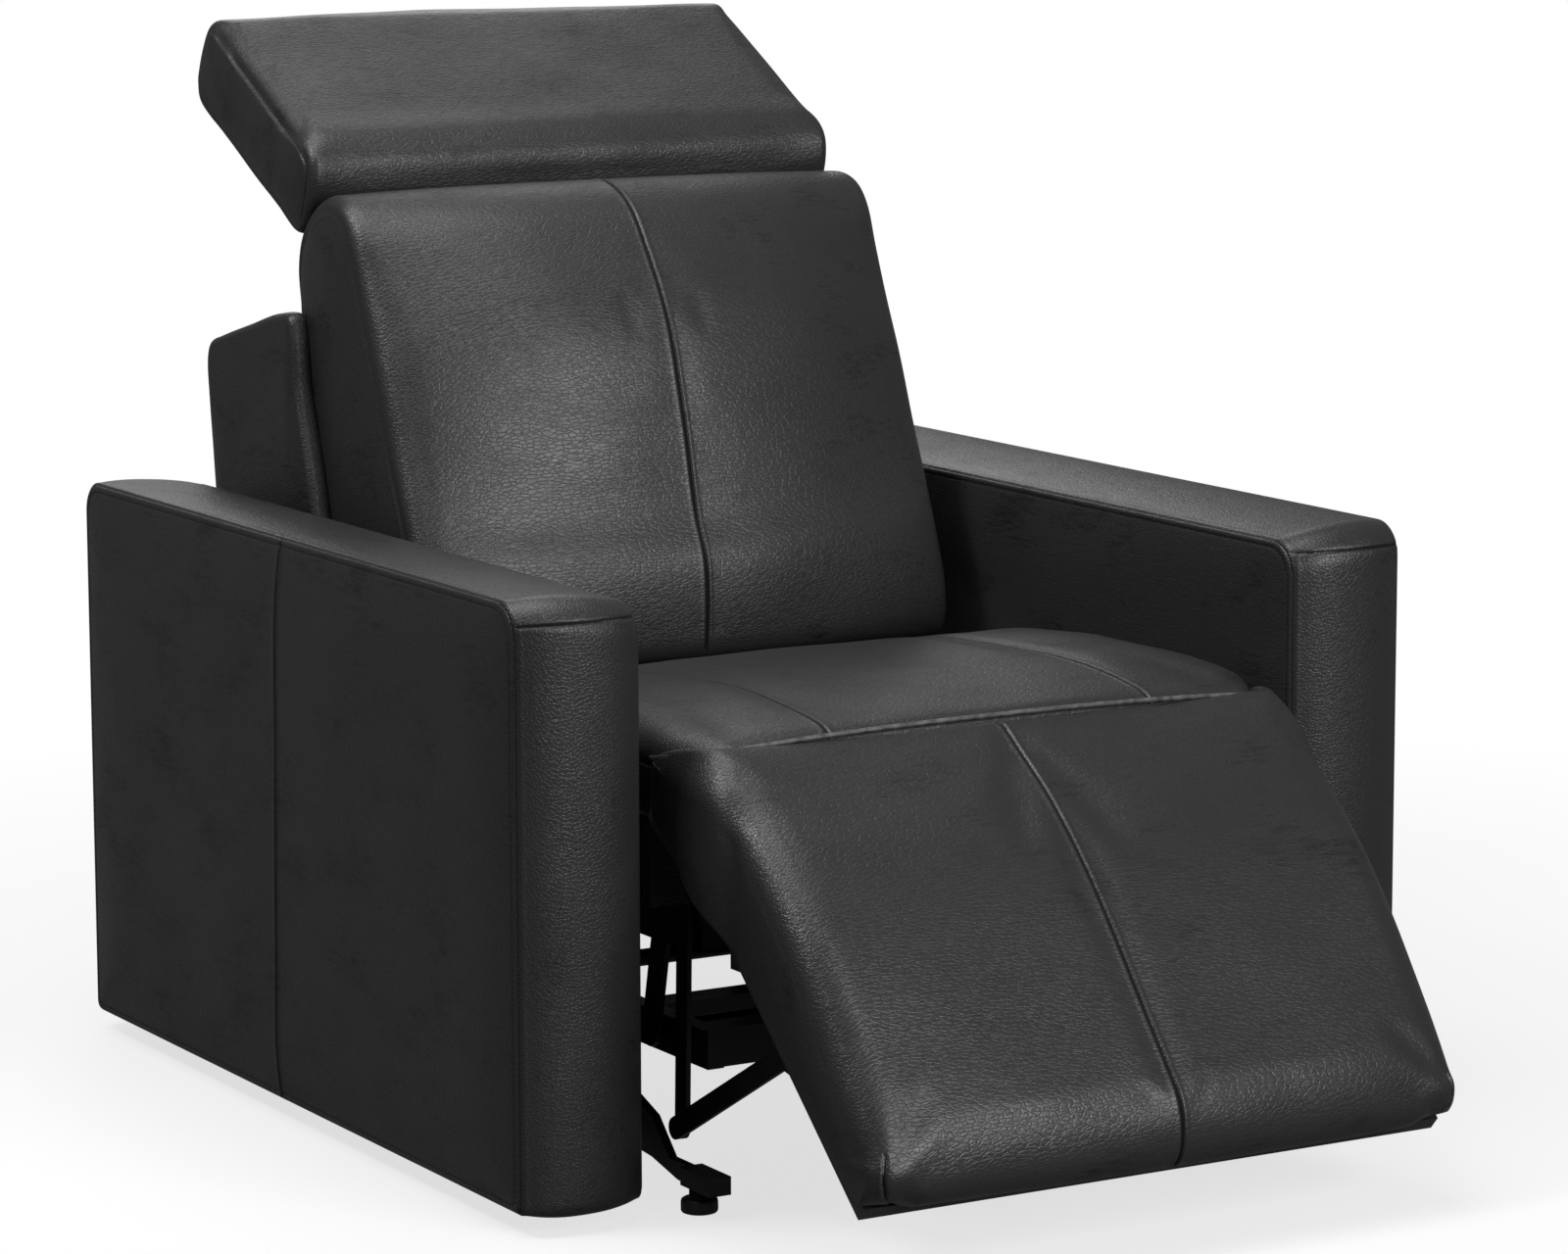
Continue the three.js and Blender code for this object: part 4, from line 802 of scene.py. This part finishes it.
inflate(seat, seat_held)
roughen(seat, 110, 2.2, lambda p, n: max(0, n.z))
for side in (-1, 1):
    sew(
        seat, at(side * seat_seam, 200, 440), (1, 0, 0),
        lambda p, n: clamped(n.z * 3 - 0.2) if p.z > 0.42 else 0,
    )
smooth_skin(seat)
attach(seat, "seat")
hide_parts("seat_cushion")
dress(["seat_front_board"], hide_across, bevel=0.003)

# Seam welt: where the seat's leather and the leg rest's are sewn together across the front, the turned-in edges
# stand up as a thin raised roll. Its leather is painted lighter along the roll, a painted highlight.

# Welt leather: the same hide, painted a lighter mid grey in short patches as a painted highlight, and smoother.
welt_painted_highlight, tree, shader = new_material("hide_edge_painted_highlight", IOR=1.4)
place = add(tree, "ShaderNodeTexCoord").outputs["Object"]
highlight_patches = add(tree, "ShaderNodeTexNoise", {"Vector": place, "Scale": 1 / 0.012, "Detail": 4})
surface(tree, shader, highlight_patches.outputs["Fac"], ("#2c2c2c", "#565656"), (0.5, 0.36), stops=(0.35, 0.65))

welt_steps, welt_sides, welt_thick, welt_tall = 120, 10, 2.9, 2.6
welt_wrap = 0.12  # the share of its half, at each end, that turns back round the seat's corner
welt_rings = []
for k in range(welt_steps + 1):
    across = -1 + 2 * k / welt_steps
    full = 1 - abs(across) ** 2.6
    wrap = max(0, abs(across) - (1 - welt_wrap)) / welt_wrap
    middle = at((seat_half + 1) * across, -36 + 71 * wrap ** 2.2, 425 + 11 * full - 9 * wrap * wrap)
    middle.z += undulate((across * 3, 0, 0), 60, 0.4) / 1000
    welt_rings.append([
        middle + Vector((0, welt_thick * math.cos(turn), welt_tall * math.sin(turn))) / 1000
        for turn in (math.tau * i / welt_sides for i in range(welt_sides))
    ])
welt = from_rings("front_seam_welt", welt_rings)
# It takes the lighter grey of the painted highlight.
welt.data.materials.append(welt_painted_highlight)
smooth_skin(welt)
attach(welt, "seat")

# Leg rest: a leather-covered board, with one long pad that runs on over the front of the seat without a break.
# Its leather is sewn from two halves.
dress(["leg_rest_board"], hide_across, bevel=0.004)

rest_half = 331
rest_face = [
    (-24, 350), (-30, 385), (-31.5, 418), (-34, 430), (-44, 429), (-76, 408), (-136, 365.5), (-196, 310),
    (-246, 253), (-292, 197), (-329, 153), (-350, 125), (-357, 98), (-353, 71), (-341, 57), (-322, 53),
]
rest_side = [
    (-24, 350), (-31, 382), (-33, 412), (-36, 426), (-47, 423), (-97, 382), (-163, 326.5), (-212.5, 277),
    (-243, 239), (-274, 196), (-304, 154), (-329, 113), (-342, 88), (-341, 72), (-334, 61), (-322, 53),
]
rest_base = [
    (-24, 350), (-20, 330), (-30, 308), (-60, 285), (-90, 261), (-150, 207.5), (-210, 154), (-270, 101),
    (-322, 53),
]
rest = padded_form(
    "leg_rest_cover", (hide_across, thread_and_groove_shade), rest_face, rest_side, rest_base, rest_half,
    edge=28, bulge=3, sewn=0, base_draw=0.06, proud=11, fullness=2.8,
)
# It widens over the front of the seat, wraps back and down round the seat's corners, and lifts its
# toe at the lower corners, which keeps them clear of the front legs when it is folded.
widening, wrap_back, wrap_down, toe_lift = 0.046, 0.068, 0.004, 0.0065
for vertex in rest.data.vertices:
    point = vertex.co
    point.x *= 1 + widening * ease(point.y, -0.480, -0.425)
    corner = ease(abs(point.x), 0.314, 0.346) * ease(point.y, -0.455, -0.410) * ease(point.z, 0.34, 0.39)
    point.y += wrap_back * corner
    point.z -= wrap_down * corner
    toe = ease(abs(point.x), 0.276, 0.296) * ease(-point.y, 0.655, 0.690) * ease(-point.z, -0.130, -0.105)
    point.z += toe_lift * toe


def rest_held(p, n):
    """The skin within 20 mm of the leg rest's board, sewn to the seat, or beside the middle seam.
    The board's face rises from (-309, 44) towards the seat, at 42 degrees."""
    y, z = p.y * 1000 + front_to_origin, p.z * 1000 - underside_height
    over_board = 0.7476 * (z - 44) - 0.6642 * (y + 309)
    return y > -40 or over_board < 20 or abs(p.x) < 0.012


inflate(rest, rest_held, pressure=1.3, most=0.0017)
roughen(rest, 120, 2.0, lambda p, n: max(0, -n.y) if p.y < -0.41 else 0)
sew(
    rest, Vector((0, 0, 0)), (1, 0, 0),
    lambda p, n: clamped(-n.y * 4 - 0.4 + max(0, n.z) * 2) if p.y < -0.405 else 0,
)
for side in (-1, 1):  # the mitre, where side and front meet at the lower corners
    sew(
        rest, at(side * 322, -351, 90), (side, 1, 0),
        lambda p, n: 1 if abs(p.x) > 0.285 and p.y < -0.665 and p.z < 0.132 else 0, depth=2,
    )
smooth_skin(rest)
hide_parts("leg_rest_pad", "leg_rest_bridge")
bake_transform(rest)

# Back: a foam cushion on a board, under leather sewn from two halves down the middle. It is
# fullest low down, and rolls over the top of the board.
back_half = 317
back_face = [
    (590, 409), (556, 404), (534, 414), (528, 447), (531, 514), (552, 564), (578, 665), (612, 766), (654, 830),
    (689, 873), (724, 892), (762, 898), (802, 887), (834, 864), (849, 833), (848, 799), (841, 774),
]
back_side = [
    (590, 409), (574, 406), (563, 418), (562, 452), (574, 500), (597, 560), (630, 632), (657, 700), (684, 762),
    (704, 812), (722, 856), (744, 879), (776, 884), (812, 869), (838, 842), (847, 808), (841, 774),
]
back_base = [
    (590, 409), (650, 421), (735, 431), (756, 437), (764, 456), (790, 552), (817, 652), (836, 724), (841, 774),
]
back = padded_form(
    "back_cushion_cover", (hide_across, thread_and_groove_shade), back_face, back_side, back_base, back_half,
    edge=15, bulge=8, sewn=2.6, base_draw=0.3, proud=9, fullness=2.6,
)
inflate(back, lambda p, n: n.y > 0.3 or p.z < 0.450 or abs(p.x) < 0.012, pressure=0.8, most=0.0012)
roughen(back, 130, 2.4, lambda p, n: max(0, -n.y))
sew(
    back, Vector((0, 0, 0)), (1, 0, 0),
    lambda p, n: clamped((n.z - n.y) * 2.5 - 0.3) if p.z < 0.925 else 0, depth=3.2,
)
smooth_skin(back)
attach(back, "back")
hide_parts("back_cushion")

# Closing cloth: a strip of dust cloth between the seat and the back, stapled to both out of sight under their
# leather. It closes the gap.
cloth_half, cloth_steps, cloth_thickness = 308, 44, 1.2
cloth_line = curve([(462, 370), (486, 362), (512, 356), (540, 360), (570, 376), (600, 398), (634, 419)], 24)
cloth_rings = []
for y, z in cloth_line:
    under, over = [], []
    for i in range(cloth_steps + 1):
        x = cloth_half * (2 * i / cloth_steps - 1)
        height = z + undulate((x / 1000, y / 1000, 0), 90, 1.4)
        under.append(at(x, y, height))
        over.append(at(x, y, height + cloth_thickness))
    cloth_rings.append(under + over[::-1])
closing_cloth = from_rings("closing_cloth", cloth_rings)
closing_cloth.data.materials.append(dust_cloth)
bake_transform(closing_cloth)

# Shell of the back: two wings and a rear panel of board, with thin foam and leather stretched over
# them, that stand round the back cushion and are screwed to its board.
shell_half, shell_wall = 344, 24
wing_face = [
    (736, 336), (745, 480), (768, 584), (800, 685), (808, 744), (816, 765), (850, 764), (923, 746), (996, 727),
    (1020, 719), (1029, 700), (1026, 651), (1018, 598), (1000, 470), (976, 338),
]
wing_base = [(736, 336), (790, 335.5), (856, 335.5), (920, 335.5), (976, 338)]
wing_rows = 28
for name, side in (("left", 1), ("right", -1)):
    wing = padded_form(
        f"back_wing_{name}", (hide_along,), wing_face, wing_face, wing_base, shell_wall / 2,
        edge=9, bulge=2.5, sewn=0, base_draw=1, proud=0, centre=side * (shell_half - shell_wall / 2), grid=6,
        panel_shares=[i / wing_rows for i in range(wing_rows + 1)],
    )
    roughen(wing, 120, 1.2, lambda p, n: abs(n.x))
    smooth_skin(wing)
    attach(wing, "back")
    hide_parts(f"back_side_panel_{name}")

panel_face = [
    (885, 754), (923, 744), (996, 724), (1018, 715), (1028, 698), (1025, 651), (1018, 598), (1000, 470),
    (976, 338),
]
panel_base = [
    (885, 752), (882, 738), (900, 724), (970, 702), (996, 690), (1003, 672), (1000, 651), (994, 598), (976, 470),
    (956, 350), (960, 338), (976, 338),
]
joint_gap = 0.4  # between the rear panel and each wing
panel = padded_form(
    "back_rear_cover", (hide_across,), panel_face, panel_face, panel_base, shell_half - shell_wall - joint_gap,
    edge=9, bulge=0.5, sewn=0, base_draw=0.3, proud=0, panel_shares=[0, 0.25, 0.5, 0.75, 1],
)
roughen(panel, 140, 2.0, lambda p, n: max(0, n.y))
smooth_skin(panel)
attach(panel, "back")
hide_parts("back_rear_panel")

# Headrest: a foam slab under leather on its own board, tipped on two steel straps that come up
# from the back and are screwed to it low down behind.
head_half = 318
head_face = [
    (829, 862), (817, 884), (807, 910), (809, 931), (825, 948), (870, 973), (911, 996), (971, 1029),
    (1025, 1059), (1048, 1070), (1066, 1066), (1082, 1040), (1093, 1000),
]
head_side = [
    (829, 862), (819, 882), (811, 906), (812, 927), (826, 944), (870, 968), (911, 990), (971, 1022),
    (1024, 1050), (1047, 1060), (1064, 1056), (1080, 1033), (1093, 1000),
]
head_base = [
    (829, 862), (838, 853), (851, 851), (895, 874), (939, 896), (986, 920), (1032, 943.5), (1074, 965),
    (1090, 978), (1093, 1000),
]
head = padded_form(
    "headrest_cover", (hide_across,), head_face, head_side, head_base, head_half,
    edge=11, bulge=5, sewn=2.4, base_draw=0.8, proud=5, fullness=3.2,
)
inflate(head, lambda p, n: n.z < -0.5)
roughen(head, 110, 1.8)
smooth_skin(head)
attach(head, "headrest")
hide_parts("headrest_pad", "headrest_board")

# Stage: a pale floor that fades into a white backdrop, with soft lamps overhead, in front and
# behind, and a small one high on the sitter's right that draws out the rolled edges.
def backdrop_share(tree):
    """How much of the white backdrop a ray sees: all of it from the camera or through glass, and
    a little in a gloss. The second value says whether the ray comes from the camera."""
    rays = add(tree, "ShaderNodeLightPath").outputs
    glossy = add(tree, "ShaderNodeMath", {0: rays["Is Glossy Ray"], 1: 0.12}, operation="MULTIPLY")
    direct = add(
        tree, "ShaderNodeMath", {0: rays["Is Camera Ray"], 1: rays["Is Transmission Ray"]}, operation="MAXIMUM"
    )
    share = add(tree, "ShaderNodeMath", {0: glossy.outputs[0], 1: direct.outputs[0]}, operation="MAXIMUM")
    return share.outputs[0], rays["Is Camera Ray"]


# Floor paint: matt and nearly white. It lights the underside as a mid grey floor would, and from
# 0.7 m out it fades into the backdrop, which keeps the object's shadow near it.
floor_paint, tree, shader = new_material("white_floor_paint", Roughness=0.6, IOR=1.45)
place = add(tree, "ShaderNodeTexCoord").outputs["Object"]
grit = add(tree, "ShaderNodeTexNoise", {"Vector": place, "Scale": 1 / 0.4, "Detail": 3})
tint = add(tree, "ShaderNodeValToRGB", {"Fac": grit.outputs["Fac"]})
for element, colour in zip(tint.color_ramp.elements, ("#d6d6d5", "#dcdcdb")):
    element.color = linear(colour)
shown, from_camera = backdrop_share(tree)
paint = add(  # its inputs 6 and 7 are the two colours
    tree, "ShaderNodeMix", {0: from_camera, 6: linear("#3c3c3c"), 7: tint.outputs["Color"]}, data_type="RGBA"
)
tree.links.new(paint.outputs[2], shader.inputs["Base Color"])
away = add(tree, "ShaderNodeVectorMath", {0: place}, operation="LENGTH")
fade = add(
    tree,
    "ShaderNodeMapRange",
    {"Value": away.outputs["Value"], "From Min": 0.7, "From Max": 2.2, "To Min": 0.72},
)
blank = add(tree, "ShaderNodeMath", {0: fade.outputs["Result"], 1: shown}, operation="MULTIPLY")
white = add(tree, "ShaderNodeEmission", {"Color": (1, 1, 1, 1), "Strength": 1})
mixed = add(tree, "ShaderNodeMixShader", {0: blank.outputs[0], 1: shader.outputs[0], 2: white.outputs[0]})
tree.links.new(mixed.outputs[0], tree.nodes["Material Output"].inputs["Surface"])
bpy.ops.mesh.primitive_circle_add(vertices=96, radius=30, fill_type="NGON", location=(0, 0, 0))
floor = bpy.context.object
floor.name = "floor"
floor.data.materials.append(floor_paint)

world = bpy.data.worlds.new("studio")
scene.world = world
world.use_nodes = True
tree = world.node_tree
tree.nodes.clear()
shown, _ = backdrop_share(tree)
dim = add(tree, "ShaderNodeBackground", {"Color": (1, 1, 1, 1), "Strength": 0.045})
bright = add(tree, "ShaderNodeBackground", {"Color": (1, 1, 1, 1), "Strength": 1})
mixed = add(tree, "ShaderNodeMixShader", {0: shown, 1: dim.outputs[0], 2: bright.outputs[0]})
add(tree, "ShaderNodeOutputWorld", {"Surface": mixed.outputs[0]})

lit_place = Vector((0, 0, 0.5))  # the middle of the chair, at which every lamp points
for name, place, size, power in (
    ("overhead", (-0.3, -0.1, 3.3), 2.0, 70),
    ("front", (0.9, -4.4, 2.2), 2.2, 195),
    ("left", (-2.1, 0.1, 3.0), 0.9, 70),
    ("rear", (1.4, 4.0, 3.1), 2.4, 38),
):
    lamp = bpy.data.objects.new(name, bpy.data.lights.new(name, "AREA"))
    lamp.data.size = size
    lamp.data.energy = power
    lamp.location = place
    lamp.rotation_euler = (Vector(place) - lit_place).to_track_quat("Z", "Y").to_euler()
    scene.collection.objects.link(lamp)
